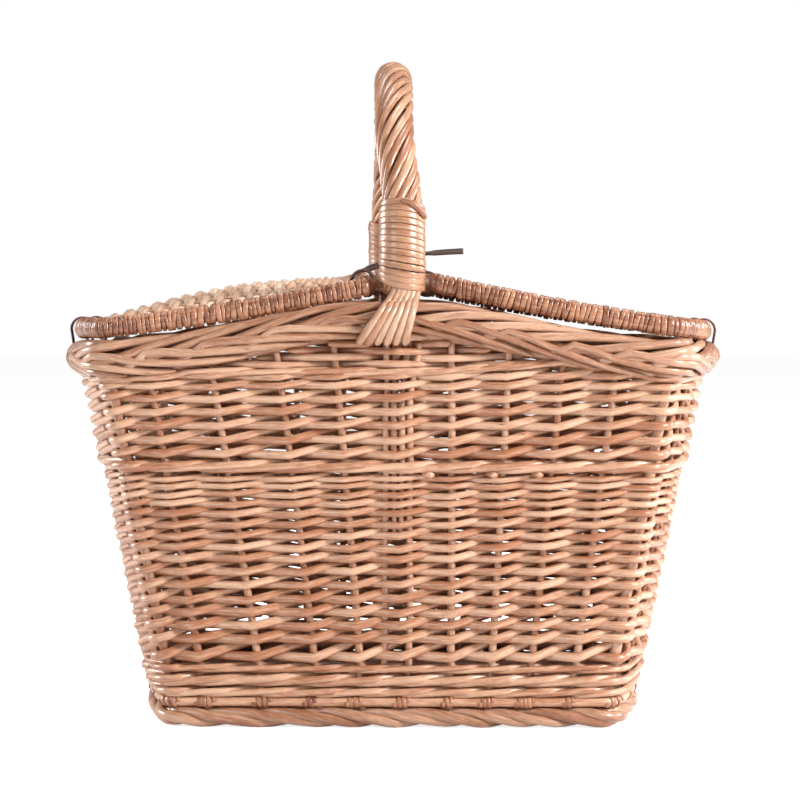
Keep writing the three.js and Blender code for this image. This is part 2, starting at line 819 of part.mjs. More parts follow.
// The prong turns on the bar by its eye and rests on the low side of the frame
function buckleProng() {
  const r = prongDiameter / 2;
  const hole = buckleRod / 2 + seatGap;
  const eye = new THREE.Shape().absarc(buckleX, buckleZ, hole + 1.4, 0, 2 * Math.PI);
  eye.holes.push(new THREE.Path().absarc(buckleX, buckleZ, hole, 0, 2 * Math.PI));
  const root = new THREE.Vector3(buckleX + hole + 0.6, 0, buckleZ - 1.2);
  const restX = buckleX + (buckleRod / 2 + r) * 1.09 + seatGap;
  const tip = new THREE.Vector3(restX, 0, buckleZ - buckleReach - 2);
  return joined([acrossBasket(eye, eyeWidth, 0, 5), rod(root, tip, r)]);
}

// Materials

const willow = new THREE.MeshStandardMaterial({ color: 0xd9a878, roughness: 0.5 });
const palerWillow = new THREE.MeshStandardMaterial({ color: 0xe2b48a, roughness: 0.5 });
const boundWillow = new THREE.MeshStandardMaterial({ color: 0xbe8460, roughness: 0.4 });
const leather = new THREE.MeshStandardMaterial({ color: 0x3a2a28, roughness: 0.6 });
const steel = new THREE.MeshStandardMaterial({
  color: 0x9a9a9c,
  roughness: 0.35,
  metalness: 0.9,
});

const basket = new THREE.Group();
function place(group, name, geometry, material) {
  const mesh = new THREE.Mesh(geometry, material);
  mesh.name = name;
  group.add(mesh);
}

// Fixed woven body
const footSection = oval(footOffset, footHeight / 2, footWidth, footHeight, rodSides);
place(basket, "foot_border", wallHoop(footSection), willow);
place(
  basket,
  "base_mat",
  slab(footHeight + seatGap, baseMatThickness, -stakeRadius - seatGap),
  willow,
);
place(basket, "base_hoop_and_stakes", stakeCage(), willow);
place(basket, "bottom_wale", wallHoop(waleSection(bottomWaleZ, bottomWaleHeight, 3)), willow);
place(basket, "lower_randing", wallHoop(bandSection(lowerRandingZ, lowerRandingHeight)), willow);
place(basket, "middle_wale", wallHoop(waleSection(middleWaleZ, middleWaleHeight, 3)), willow);
place(basket, "upper_randing", wallHoop(bandSection(upperRandingZ, upperRandingHeight)), willow);
place(basket, "top_wale", wallHoop(waleSection(topWaleZ, topWaleHeight, 1)), willow);
place(basket, "front_packing", packing(0), willow);
place(basket, "back_packing", packing(2), willow);

const postRadius = cornerPostDiameter / 2;
const postOut = stakeRadius - postRadius - cornerPostInset;
const postFoot = footHeight + baseMatThickness + 2 * seatGap;
["front_right", "back_right", "back_left", "front_left"].forEach((corner, side) => {
  const post = stakeRod(side, 1.5, postRadius, postOut, postFoot);
  place(basket, corner + "_corner_post", post, willow);
});

// Handle, with its liners, collars and wrapping
for (const [face, end, side] of [["front", -1, 0], ["back", 1, 2]]) {
  for (const [hand, way] of [["left", -1], ["right", 1]]) {
    const apart = way * (bowDiameter / 2 + stakeRadius + linerGap);
    const at = (z) => {
      const y = end * (halfDepth(z) + sideBow);
      return new THREE.Vector3(handleX(y) + apart, y, z);
    };
    const top = stakeTop + rimLift(handleX(end * archHalfSpan) + apart) - 0.4;
    const liner = rod(at(bottomWaleZ + seatGap), at(top), stakeRadius);
    place(basket, face + "_handle_liner_" + hand, liner, willow);
  }
  place(basket, face + "_handle_collar", collarWinding(end), boundWillow);
  place(basket, face + "_wrap_tails", wrapTails(end), palerWillow);
}
place(basket, "handle_bow", handleBow, willow);
place(basket, "handle_wrap", handleSleeve(), palerWillow);

// The rim is parted round the feet of the bow and round the leather loops
const borderSection = oval(borderOffset, borderZ, borderWidth, borderHeight, rodSides);
const bowRoom = tube(
  handleLine,
  handleLine.map((p) => bowRadius(p.z) + seatGap + 0.2),
  handleSides,
  handlePlane,
);
const loopRooms = lids.flatMap((lid) => [-1, 1].map((end) => hingeLoop(lid, end, 0.4)));
place(basket, "top_border", cut(rimHoop(borderSection), [bowRoom, ...loopRooms]), willow);
for (const lid of lids) {
  place(basket, lid.name + "_front_hinge_loop", hingeLoop(lid, -1, 0), leather);
  place(basket, lid.name + "_back_hinge_loop", hingeLoop(lid, 1, 0), leather);
}

// Lids
for (const lid of lids) {
  const group = new THREE.Group();
  const hoop = oval(hoopInset, lidBandHeight / 2, lidHoopDiameter, lidHoopDiameter, rodSides);
  place(group, lid.name + "_lid_hoop", lidRing(lid, hoop), willow);
  place(group, lid.name + "_lid_binding", lidRing(lid, bindingSection()), boundWillow);
  place(group, lid.name + "_lid_mat", lidMat(lid), palerWillow);
  basket.add(group);
}

// Closure: a buckle strap on the left lid, a tongue strap on the right one
place(basket, "buckle_strap", buckleStrap(), leather);
place(basket, "buckle_frame", buckleFrame(), steel);
place(basket, "buckle_prong", buckleProng(), steel);
place(basket, "tongue_strap", tongueStrap(), leather);

export default basket;
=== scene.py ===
"""A willow picnic basket with two lids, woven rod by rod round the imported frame.

Lengths are written in millimetres and become metres when a mesh is made. X runs along the basket,
Y runs to the back and Z runs up. The wall is followed by `tau`, which counts 2 for each side with
its corner, and by `u`, which counts the 34 stakes.
"""
import bpy
import numpy as np
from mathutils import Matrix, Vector


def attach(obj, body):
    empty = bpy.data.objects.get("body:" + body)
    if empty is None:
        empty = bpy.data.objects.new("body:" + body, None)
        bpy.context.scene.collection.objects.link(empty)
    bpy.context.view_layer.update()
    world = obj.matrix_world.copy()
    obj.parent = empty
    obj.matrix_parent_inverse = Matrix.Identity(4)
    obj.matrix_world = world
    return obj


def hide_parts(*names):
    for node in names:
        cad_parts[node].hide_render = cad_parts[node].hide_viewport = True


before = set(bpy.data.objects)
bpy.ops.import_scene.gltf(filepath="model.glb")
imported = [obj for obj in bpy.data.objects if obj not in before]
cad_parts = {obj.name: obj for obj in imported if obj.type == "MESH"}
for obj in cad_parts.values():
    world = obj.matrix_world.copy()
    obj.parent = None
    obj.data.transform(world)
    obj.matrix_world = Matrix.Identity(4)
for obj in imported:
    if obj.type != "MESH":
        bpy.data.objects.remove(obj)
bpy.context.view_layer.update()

MM = 0.001
PI = np.pi
rng = np.random.default_rng(41)

# Camera, at the height of the rim and a little right of the middle

def place_object(name, data, place=(0, 0, 0), aim=None):
    """A new object in the scene. One with an aim stands at its place and looks there."""
    made = bpy.data.objects.new(name, data)
    bpy.context.scene.collection.objects.link(made)
    if aim:
        made.location = place
        made.rotation_euler = (Vector(aim) - Vector(place)).to_track_quat("-Z", "Y").to_euler()
    return made


camera_data = bpy.data.cameras.new("photo_camera")
camera_data.sensor_width = 36
camera_data.lens = 121.6
camera = place_object("photo_camera", camera_data, (0.040, -2.0, 0.2979), (0.0047, 0.0, 0.2243))
bpy.context.scene.camera = camera

# Sizes, most of them the same as in the frame

SIDE_BOW = 2
CORNER = 10
STAKE = 2.8
LEAN_Z = 127
HOOP_Z = 18.4
HOOP_OUT = 4
WALE_Z = 243.7
RIM_Z = 255.55
RIM_OUT = 4.6
RIM_WIDE = 13
RIM_TALL = 11.85
RIM_RISE = 27.5
RIM_REACH = 195
STAKE_TOP = 242.5
HANDLE_TOP = 473
HANDLE_RADIUS = 14
HANDLE_SHIFT = 0.95
SLANT = 0.052
HANDLE_FOOT_Y = 154
SPRING = 320.9
COLLAR_FOOT = 304.9
COLLAR_TOP = 361.5
BOW_TIP = 133
COUNT = 34
LEGS = (4, 21)
LID_PLAN = 264.9
LID_OVERHANG = 8
LID_END_Z = 268.3
LID_HALF_DEPTH = 158.71
LID_END = 232.689
BAND_WIDE = 11
BAND_TALL = 14
COLLAR_ROOM = 18.204
LEATHER = 2.6
SHOWN_LEATHER = 3.0
BUCKLE_STRAP_WIDE = 16
TONGUE_STRAP_WIDE = 15
SLIT = 3.4
RING = 7.4
HINGE_X = 225.326
BUCKLE_Z = 324.107

# The wall as a surface

SIGN_X = np.array([-1, 1, 1, -1])
SIGN_Y = np.array([-1, -1, 1, 1])
OUT_X = np.array([0, 1, 0, -1])
OUT_Y = np.array([-1, 0, 1, 0])


def half_length(z):
    """Half of the body's length between its corners: it grows evenly with the height."""
    return 152.5 + 0.179 * z


def half_depth(z):
    """Half of the body's depth between its corners: it grows evenly with the height."""
    return 117.6 + 0.125 * z


def side_bow(side, z):
    """How far the middle of a side stands out: 2 on the long sides, more on the ends."""
    return np.where(side % 2 == 0, SIDE_BOW, 15.5 + 0.035 * z)


def side_normal(side, t, z):
    """Angle of the outward normal at share t of a side: square to the run plus the bow's slope."""
    after = (side + 1) % 4
    slope = side_bow(side, z) * 4 * (1 - 2 * t)
    dx = (SIGN_X[after] - SIGN_X[side]) * (half_length(z) - CORNER) + OUT_X[side] * slope
    dy = (SIGN_Y[after] - SIGN_Y[side]) * (half_depth(z) - CORNER) + OUT_Y[side] * slope
    return np.arctan2(-dx, dy)


def wall(tau, z, out):
    """Point of the wall: a bowed rectangle with round corners, `out` along its normal.

    The place on a side is start + run * t + outward * bow * 4t(1 - t), and round a corner the
    normal turns evenly from this side's to the next one's. The corner's radius and `out` are
    then added along the normal.
    """
    tau, z, out = np.broadcast_arrays(np.mod(tau, 8.0), np.asarray(z, float), out)
    side = np.minimum(tau // 2, 3).astype(int)
    after = (side + 1) % 4
    s = tau - 2 * side
    t = np.minimum(s, 1)
    x = half_length(z) - CORNER
    y = half_depth(z) - CORNER
    rise = side_bow(side, z) * 4 * t * (1 - t)
    px = (SIGN_X[side] * (1 - t) + SIGN_X[after] * t) * x + OUT_X[side] * rise
    py = (SIGN_Y[side] * (1 - t) + SIGN_Y[after] * t) * y + OUT_Y[side] * rise
    angle = side_normal(side, t, z)
    turn = np.mod(side_normal(after, 0 * t, z) - angle, 2 * PI)
    angle = angle + np.maximum(s - 1, 0) * turn
    reach = CORNER + out
    return np.stack([px + np.cos(angle) * reach, py + np.sin(angle) * reach, z], -1)


def rim_lift(x):
    """The rim's rise in the middle of the long sides: one wave of a cosine."""
    wave = RIM_RISE * (1 + np.cos(PI * x / RIM_REACH)) / 2
    return np.where(np.abs(x) < RIM_REACH, wave, 0.0)


def rim(tau, z, out):
    """Point of the wall, lifted as the rim is."""
    return wall(tau, z + rim_lift(wall(tau, z, 0.0)[..., 0]), out)


def lengths(points):
    """Distance from the first point to each of them, along the straight steps between."""
    return np.concatenate([[0], np.cumsum(np.linalg.norm(np.diff(points, axis=0), axis=1))])


def along_route(place, length, points):
    """Points at the distances `place` along a route whose own points lie at `length`."""
    return np.stack([np.interp(place, length, column) for column in points.T], -1)


def spaced(points, gap):
    """Points evenly spaced along a route, `gap` or a little more apart, and their distances."""
    length = lengths(points)
    even = np.linspace(0, length[-1], int(length[-1] / gap) + 1)
    return along_route(even, length, points), even


def ring(points):
    """The points with the first one again at the end."""
    return np.concatenate([points, points[:1]])


face_places = np.array([0.06, 0.187, 0.314, 0.418, 0.5215, 0.628, 0.727, 0.822, 0.923])
face_lean = np.array([0, 16, 22, 22, 10, 21, 14, 8, 11]) / -150e3
end_places = np.arange(1, 7) / 7
stake_tau = np.concatenate(
    [face_places, [1.5], 2 + end_places, [3.5], 4 + face_places, [5.5], 6 + end_places, [7.5]]
)
stake_lean = np.tile([*face_lean, *np.zeros(8)], 2)
corner_index = np.array([9, 16, 26, 33])
fine_tau = np.linspace(0, 8, 3201)
fine_arc = lengths(wall(fine_tau, 140.0, 3.0))
girth = fine_arc[-1]
stake_arc = np.interp(stake_tau, fine_tau, fine_arc)
knot_arc = np.concatenate([[stake_arc[-1] - girth], stake_arc, [stake_arc[0] + girth]])
knot_lean = np.concatenate([stake_lean[-1:], stake_lean, stake_lean[:1]])


def at_stake(u, z=LEAN_Z):
    """tau at stake count u: the girth between two stakes is shared evenly.

    The stakes of the long sides lean to the left, each by its own small amount per height.
    """
    u, z = np.broadcast_arrays(np.mod(u, COUNT), z)
    knots = np.arange(-1, COUNT + 1)
    tau = np.interp(np.mod(np.interp(u, knots, knot_arc), girth), fine_arc, fine_tau)
    return tau + np.interp(u, knots, knot_lean) * (np.clip(z, 20, 250) - LEAN_Z)


# Meshes

def round_section(sides):
    """Points of a unit circle, a half step off the axis."""
    angle = 2 * PI * (np.arange(sides) + 0.5) / sides
    return np.stack([np.cos(angle), np.sin(angle)], -1)


def squared(wave, power):
    """A sine or cosine raised to a small power, with its sign: it squares a circle's corners."""
    return np.sign(wave) * np.abs(wave) ** power


def strap_section(width, thickness, sides=20):
    """A rectangle with round corners: a circle, squared."""
    c, s = round_section(sides).T
    return np.stack([squared(c, 0.5) * thickness / 2, squared(s, 0.3) * width / 2], -1)


def unit(v):
    """The same ways with a length of 1."""
    return v / np.maximum(np.linalg.norm(v, axis=-1, keepdims=True), 1e-9)


def sweep(paths, facing, radius, section, closed=False, shear=0.0, tone=None, flat=1.0):
    """Carries a section along each path of an N x M x 3 array.

    A ring's point is centre + radius * (flat * a * A + b * B), where A is `facing` made square to
    the path and B is square to both. `shear` slides a point along the path by shear * a.
    """
    count, length, _ = paths.shape
    sides = len(section)
    if closed:
        along = np.roll(paths, -1, 1) - np.roll(paths, 1, 1)
        step = np.linalg.norm(paths - np.roll(paths, 1, 1), axis=-1)
        step[:, 0] = 0
    else:
        along = np.gradient(paths, axis=1)
        step = np.linalg.norm(np.diff(paths, axis=1, prepend=paths[:, :1]), axis=-1)
    along = unit(along)
    facing = np.broadcast_to(facing, paths.shape)
    first = unit(facing - np.sum(facing * along, -1, keepdims=True) * along)
    second = np.cross(along, first)
    radius, flat, slide = (np.broadcast_to(values, (count, length))[..., None, None]
                           for values in (radius, flat, shear))
    a = section[:, 0][None, None, :, None]
    b = section[:, 1][None, None, :, None]
    verts = paths[:, :, None] + radius * (flat * a * first[:, :, None] + b * second[:, :, None])
    verts = verts + along[:, :, None] * slide * a
    grid = np.arange(count * length * sides).reshape(count, length, sides)
    low = grid if closed else grid[:, :-1]
    high = np.roll(grid, -1, 1) if closed else grid[:, 1:]
    quads = np.stack([low, np.roll(low, -1, 2), np.roll(high, -1, 2), high], -1).reshape(-1, 4)
    faces = [quads]
    if not closed:
        faces += [grid[:, 0, ::-1], grid[:, -1]]
    start = rng.uniform(0, 900, (count, 1))
    distance = np.cumsum(step, 1) + start
    turn = np.broadcast_to(unit(section), (count, length, sides, 2))
    distance = np.broadcast_to(distance[..., None, None], (count, length, sides, 1))
    if tone is None:
        tone = rng.uniform(0, 1, (count, 1))
    tone = np.broadcast_to(np.broadcast_to(tone, (count, length))[..., None], grid.shape)
    grain = np.concatenate([turn, distance], -1)
    return verts.reshape(-1, 3), faces, grain.reshape(-1, 3), tone.reshape(-1)


def make(name, parts, finish, body="basket", node=None):
    """One mesh of all the parts, with the attributes grain and tone, riding on its body.

    A finish is a material and a slot name; only the material is used. The piece replaces the node
    of its own name, or `node`.
    """
    material, slot = finish
    verts = np.concatenate([part[0] for part in parts]) * MM
    shift = np.cumsum([0] + [len(part[0]) for part in parts])
    faces = [face + start for part, start in zip(parts, shift) for face in part[1]]
    corners = np.concatenate([face.ravel() for face in faces])
    sizes = np.concatenate([np.full(len(face), face.shape[1]) for face in faces])
    mesh = bpy.data.meshes.new(name + "_detail")
    mesh.vertices.add(len(verts))
    mesh.vertices.foreach_set("co", verts.ravel())
    mesh.loops.add(len(corners))
    mesh.loops.foreach_set("vertex_index", corners.astype(np.int32))
    mesh.polygons.add(len(sizes))
    starts = np.concatenate([[0], np.cumsum(sizes)[:-1]]).astype(np.int32)
    mesh.polygons.foreach_set("loop_start", starts)
    mesh.polygons.foreach_set("use_smooth", np.ones(len(sizes), bool))
    mesh.update(calc_edges=True)
    columns = ((2, "grain", "FLOAT_VECTOR", "vector"), (3, "tone", "FLOAT", "value"))
    for k, label, kind, field in columns:
        values = np.concatenate([part[k] for part in parts])
        mesh.attributes.new(label, kind, "POINT").data.foreach_set(field, values.ravel())
    mesh.validate()
    mesh.materials.append(material)
    piece = place_object(name + "_detail", mesh)
    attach(piece, body)
    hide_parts(node or name)


def smooth(points, count):
    """A curve through the points: the cubic whose slope at a point joins its two neighbours."""
    points = np.asarray(points, float)
    last = points.shape[-2] - 1
    place = np.linspace(0, last, count)
    i = np.minimum(place.astype(int), last - 1)
    t = (place - i)[:, None]
    p0, p1, p2, p3 = (points[..., np.clip(i + k, 0, last), :] for k in (-1, 0, 1, 2))
    return 0.5 * (
        2 * p1
        + (p2 - p0) * t
        + (2 * p0 - 5 * p1 + 4 * p2 - p3) * t**2
        + (3 * p1 - p0 - 3 * p2 + p3) * t**3
    )


ROUND = round_section(8)
FULL = round_section(12)
UP = np.array([0.0, 0.0, 1.0])


def outward(path_function, tau, z, out):
    """Points of the wall and the way out of it there."""
    here = path_function(tau, z, out)
    return here, path_function(tau, z, out + 1.0) - here


def tips(count, length, radius, start=0.0, end=0.0):
    """Radius along a rod that tapers over the shares `start` and `end` of its length."""
    share = np.linspace(0, 1, length)
    taper = np.ones(length)
    for part, place in ((start, share), (end, 1 - share)):
        if part:
            taper = np.minimum(taper, 0.12 + 0.88 * np.sqrt(np.clip(place / part, 0, 1)))
    return np.broadcast_to(radius, (count, 1)) * taper


# Materials

def fill(inputs, values):
    """Feeds inputs, by name or number: an output is linked to them, a plain value is set."""
    for key, value in dict(values).items():
        if isinstance(value, bpy.types.NodeSocket):
            value.id_data.links.new(value, inputs[key])
        else:
            inputs[key].default_value = value


def add(tree, kind, inputs=(), **properties):
    """A shader node with its properties and inputs."""
    made = tree.nodes.new("ShaderNode" + kind)
    for key, value in properties.items():
        setattr(made, key, value)
    fill(made.inputs, inputs)
    return made


def math(tree, kind, *values):
    """A sum, product or other calculation with one to three values."""
    return add(tree, "Math", enumerate(values), operation=kind).outputs[0]


def spread(tree, value, *bounds):
    """A value carried from one range, the first two bounds, to another, and held at its ends."""
    names = ("Value", "From Min", "From Max", "To Min", "To Max")
    return add(tree, "MapRange", zip(names, (value, *bounds))).outputs["Result"]


def blend_colour(tree, share, first, second):
    """The first colour where the share is 0 and the second where it is 1."""
    return add(tree, "Mix", {0: share, 6: first, 7: second}, data_type="RGBA").outputs[2]


def stretched(tree, vector, scale):
    """Coordinates times a scale for each axis."""
    return add(tree, "VectorMath", {0: vector, 1: scale}, operation="MULTIPLY").outputs[0]


def noise(tree, vector, scale, detail=3.0):
    """Soft noise from 0 to 1."""
    inputs = {"Vector": vector, "Scale": scale, "Detail": detail}
    return add(tree, "TexNoise", inputs).outputs["Fac"]


def rod_grain_group():
    """Colour, roughness and height of a peeled rod.

    Fine streaks and slow changes of tone run along the rod, each rod has its own tone, and a few
    small dark specks mark where side shoots grew. The lids' binding sets its grooves to tone 0, a
    painted shade.
    """
    tree = bpy.data.node_groups.new("rod_grain", "ShaderNodeTree")
    for names, way, kind in (
        (("Pale", "Deep", "Speck"), "INPUT", "NodeSocketColor"),
        (("Contrast", "Gloss"), "INPUT", "NodeSocketFloat"),
        (("Colour",), "OUTPUT", "NodeSocketColor"),
        (("Roughness", "Height"), "OUTPUT", "NodeSocketFloat"),
    ):
        for name in names:
            tree.interface.new_socket(name, in_out=way, socket_type=kind)
    given = tree.nodes.new("NodeGroupInput").outputs
    result = tree.nodes.new("NodeGroupOutput").inputs
    grain = add(tree, "Attribute", attribute_name="grain").outputs["Vector"]
    tone = add(tree, "Attribute", attribute_name="tone").outputs["Fac"]
    fine = noise(tree, stretched(tree, grain, (2.6, 2.6, 0.05)), 1.6, 4.0)
    slow = noise(tree, stretched(tree, grain, (0.5, 0.5, 0.018)), 1.0, 2.0)
    mottle = noise(tree, stretched(tree, grain, (0.9, 0.9, 0.12)), 1.3)
    streak = spread(tree, fine, 0.32, 0.68, -0.5, 0.5)
    total = math(tree, "MULTIPLY", streak, 0.7)
    # tone: each rod's own at random, and 0 in the binding's grooves, where it is painted shade
    own = math(tree, "MULTIPLY", math(tree, "SUBTRACT", tone, 0.5), 0.75)
    for more in (own, spread(tree, slow, 0.3, 0.7, -0.35, 0.35),
                 spread(tree, mottle, 0.3, 0.7, -0.2, 0.2)):
        total = math(tree, "ADD", total, more)
    share = math(tree, "MULTIPLY_ADD", total, given["Contrast"], 0.5)
    share = spread(tree, share, 0.0, 1.0, 0.0, 1.0)
    colour = blend_colour(tree, share, given["Deep"], given["Pale"])
    spots = add(tree, "TexVoronoi", {"Vector": stretched(tree, grain, (0.42, 0.42, 0.028)),
                                     "Scale": 1.0}).outputs["Distance"]
    speck = spread(tree, spots, 0.035, 0.085, 1.0, 0.0)
    rough = spread(tree, fine, 0.3, 0.7, 0.1, -0.04)
    fill(result, {
        "Colour": blend_colour(tree, speck, colour, given["Speck"]),
        "Roughness": math(tree, "ADD", rough, given["Gloss"]),
        "Height": math(tree, "SUBTRACT", fine, math(tree, "MULTIPLY", speck, 0.8)),
    })
    return tree


rod_grain = rod_grain_group()


def srgb(*channels):
    """Linear colour of a 0 to 255 screen colour."""
    c = np.array(channels) / 255
    linear = np.where(c <= 0.04045, c / 12.92, ((c + 0.055) / 1.055) ** 2.4)
    return (*linear.tolist(), 1.0)


def new_material(name):
    """A material with its tree and its main shader's inputs."""
    material = bpy.data.materials.new(name)
    material.use_nodes = True
    tree = material.node_tree
    return material, tree, tree.nodes["Principled BSDF"].inputs


def willow(name, pale, deep, slot="buff_willow", gloss=0.34, contrast=1.0):
    """Peeled, steamed willow: a thin clear coat over a streaked rod."""
    material, tree, shader = new_material(name)
    grain = add(tree, "Group", {
        "Pale": srgb(*pale), "Deep": srgb(*deep), "Speck": srgb(70, 38, 22),
        "Contrast": contrast, "Gloss": gloss,
    }, node_tree=rod_grain).outputs
    bump = add(tree, "Bump", {"Strength": 0.25, "Distance": 0.0003, "Height": grain["Height"]})
    fill(shader, {
        "Base Color": grain["Colour"], "Roughness": grain["Roughness"],
        "Normal": bump.outputs["Normal"], "Coat Weight": 0.45, "Coat Roughness": 0.22,
    })
    return material, slot


def leather_finish(name, deep, pale):
    """Strap leather: pebbled grain, rubbed paler on its rounded edges, a waxy sheen."""
    material, tree, shader = new_material(name)
    coordinates = add(tree, "TexCoord").outputs["Object"]
    pebbles = add(tree, "TexVoronoi", {"Vector": coordinates, "Scale": 900}).outputs["Distance"]
    cloud = noise(tree, coordinates, 60, 4.0)
    edge = spread(tree, add(tree, "NewGeometry").outputs["Pointiness"], 0.5, 0.56, 0.0, 0.5)
    colour = blend_colour(tree, cloud, srgb(*deep), srgb(*pale))
    height = math(tree, "ADD", pebbles, math(tree, "MULTIPLY", cloud, 0.6))
    bump = add(tree, "Bump", {"Strength": 0.35, "Distance": 0.0002, "Height": height})
    fill(shader, {
        "Base Color": blend_colour(tree, edge, colour, srgb(112, 84, 72)),
        "Roughness": spread(tree, cloud, 0.3, 0.7, 0.42, 0.62),
        "Normal": bump.outputs["Normal"],
    })
    return material, "dark_leather"


def steel_finish():
    """Satin plated steel with fine scratches."""
    material, tree, shader = new_material("buckle_steel")
    coordinates = add(tree, "TexCoord").outputs["Object"]
    scratch = noise(tree, stretched(tree, coordinates, (1.0, 0.1, 1.0)), 2400)
    fill(shader, {
        "Base Color": blend_colour(tree, scratch, srgb(150, 148, 146), srgb(206, 204, 200)),
        "Metallic": 1.0,
        "Roughness": spread(tree, scratch, 0.3, 0.7, 0.2, 0.38),
    })
    return material, "buckle_steel"


body_willow = willow("buff_willow", (207, 165, 136), (160, 103, 71), contrast=1.1)
rim_willow = willow("rim_willow", (192, 149, 121), (146, 95, 67), contrast=1.1)
handle_willow = willow("handle_willow", (194, 150, 119), (152, 98, 69), gloss=0.3)
tail_willow = willow("tail_willow", (214, 179, 152), (178, 130, 100), gloss=0.3)
mat_willow = willow("lid_willow", (238, 208, 182), (206, 160, 128))
base_willow = willow("base_willow", (180, 130, 98), (144, 92, 64), gloss=0.42)
skein_willow = willow("willow_skein", (181, 127, 95), (118, 67, 43), "willow_skein", contrast=1.2)
collar_willow = willow("collar_skein", (184, 139, 108), (146, 94, 66), "willow_skein")
leather = leather_finish("dark_leather", (32, 22, 21), (54, 38, 36))
hinge_leather = leather_finish("hinge_leather", (84, 52, 38), (122, 78, 56))
steel = steel_finish()


# Body: stakes, posts and the hoop of the base

def stake_paths(u, out, foot, top, wander):
    """Upright rods: they follow the wall from foot to top and wander a little with the weave."""
    rows = 44
    z = np.linspace(foot, top, rows)[None]
    tau = at_stake(u[:, None], z)
    out = out + wander * np.sin(z / 5.3 + 9 * u[:, None])
    here, facing = outward(rim, tau, z, out)
    lift = (here[..., 2] - z) * (z - foot) / (top - foot)
    return wall(tau, z + lift, out), facing


plain = np.setdiff1d(np.arange(COUNT), [*corner_index, *LEGS])
paths, facing = stake_paths(plain.astype(float), 0.0, 8.0, STAKE_TOP + 4, 0.3)
thick = STAKE * rng.uniform(0.9, 1.03, (len(plain), 1)) * np.linspace(1.06, 0.9, 44)
stakes = sweep(paths, facing, thick, ROUND)

hoop_tau = np.linspace(0, 8, 240, endpoint=False)[None]
hoop_line, hoop_facing = outward(wall, hoop_tau, HOOP_Z, HOOP_OUT)
hoop = sweep(hoop_line, hoop_facing, 3.4, FULL, closed=True)


def hoop_wraps():
    """Flat skein wound round the base hoop at each stake: a helix of two to four turns."""
    turns = rng.choice([2, 3, 4], COUNT * 2, p=[0.3, 0.4, 0.3])[::2, None]
    middle = (np.arange(COUNT) + rng.uniform(-0.1, 0.1, COUNT * 2)[::2])[:, None]
    share = np.linspace(0, 1, 60)[None]
    angle = 2 * PI * turns * share
    u = middle + (share - 0.5) * turns * 3.9 / (girth / COUNT)
    centre, facing = outward(wall, at_stake(u), HOOP_Z, HOOP_OUT)
    radial = np.cos(angle)[..., None] * unit(facing) - np.sin(angle)[..., None] * UP
    tone = rng.uniform(0, 1, (COUNT, 1))
    return sweep(centre + radial * 3.75, radial, 1.0, round_section(8) * [0.55, 1.75], tone=tone)


make("base_hoop_and_stakes", [stakes, hoop], body_willow)
make("base_hoop_wraps", [hoop_wraps()], skein_willow, node="base_hoop_and_stakes")

for corner, index in zip(("front_right", "back_right", "back_left", "front_left"), corner_index):
    paths, facing = stake_paths(np.array([float(index)]), -1.7, 24.2, STAKE_TOP, 0.15)
    post = sweep(paths, facing, np.linspace(4.0, 3.8, 44), FULL)
    make(corner + "_corner_post", [post], body_willow)


# Body: weaving

def leg_room(u, z, wave):
    """How much deeper a rod passes behind the foot of the bow: wave is below 0 behind."""
    bow = np.interp(z, [BOW_TIP, 200, 264], [4, 5, 16.4])
    near = sum(np.exp(-(((np.mod(u, COUNT) - leg) / 0.55) ** 2)) for leg in LEGS)
    return near * np.maximum(bow - 5.6, 0) * np.maximum(-wave, 0)


def round_stakes(v, straight):
    """A rod's way past the stakes: a triangle wave and a cosine, mixed, 1 in front, -1 behind."""
    return straight * (2 * np.abs(np.mod(v, 2) - 1) - 1) + (1 - straight) * np.cos(PI * v)


def randing(row_z, thickness):
    """French randing: a rod starts at every stake, and all climb to the right together.

    Each rod passes before one stake and behind the next. With v counting stakes since it was
    last in front, its way out runs in straight lines between the stakes, a little rounded:
    out = reach * (0.75 * triangle(v) + 0.25 * cos(pi * v)). It runs level up to a stake, has a
    kink there and climbs a whole row till it is behind the next one, by the shares in `climb`.
    """
    rows = len(row_z)
    per_stake = 8
    share = np.arange(-6, (2 * rows - 1) * per_stake - 1) / per_stake
    u = np.arange(COUNT)[:, None] + 1.0 + share[None]
    row = np.floor(share / 2).astype(int)
    climb = np.interp(share / 2 - row, [0, 0.44, 0.5, 0.62, 0.8, 1], [0, 0.77, 0.89, 1.02, 1.04, 1])
    heights = np.concatenate([[2 * row_z[0] - row_z[1]], row_z, [2 * row_z[-1] - row_z[-2]]])
    uneven = rng.normal(0, 0.4, (COUNT, rows + 3))
    low, high = (heights[np.clip(k, 0, rows + 1)] + uneven[:, np.clip(k, 0, rows + 2)]
                 for k in (row + 1, row + 2))
    z = low + (high - low) * climb
    wave = round_stakes(share, 0.75)
    radius = np.interp(z, thickness[0], thickness[1]) / 2
    radius = radius * rng.uniform(0.92, 1.08, (COUNT, 1))
    out = wave * (STAKE + radius) - leg_room(u, z, wave)
    radius = radius * np.clip(np.minimum(share + 1.0, 2 * rows - 0.9 - share) * 3, 0.25, 1)
    paths, facing = outward(wall, at_stake(u, z), z, out)
    return sweep(paths, facing, radius, ROUND)


lower_rows = np.array([50.2, 62.9, 72.1, 81.6, 90.4, 100.9, 110.0, 118.9, 127.0, 135.0,
                       143.1, 150.8, 157.6, 163.5, 169.6, 174.6])
upper_rows = np.array([192.0, 201.6, 211.7, 221.4, 230.6, 238.9, 246.0])
lower_thickness = ([50, 70, 112, 150, 174], [7.0, 6.5, 5.9, 5.1, 4.1])
make("lower_randing", [randing(lower_rows, lower_thickness)], body_willow)
make("upper_randing", [randing(upper_rows, ([190, 240], [6.2, 5.3]))], body_willow)


def drift(places, values):
    """Each row's few values, shared out evenly over its places, with straight lines between."""
    return np.array([np.interp(row, np.linspace(row[0], row[-1], len(few)), few)
                     for row, few in zip(places, values)])


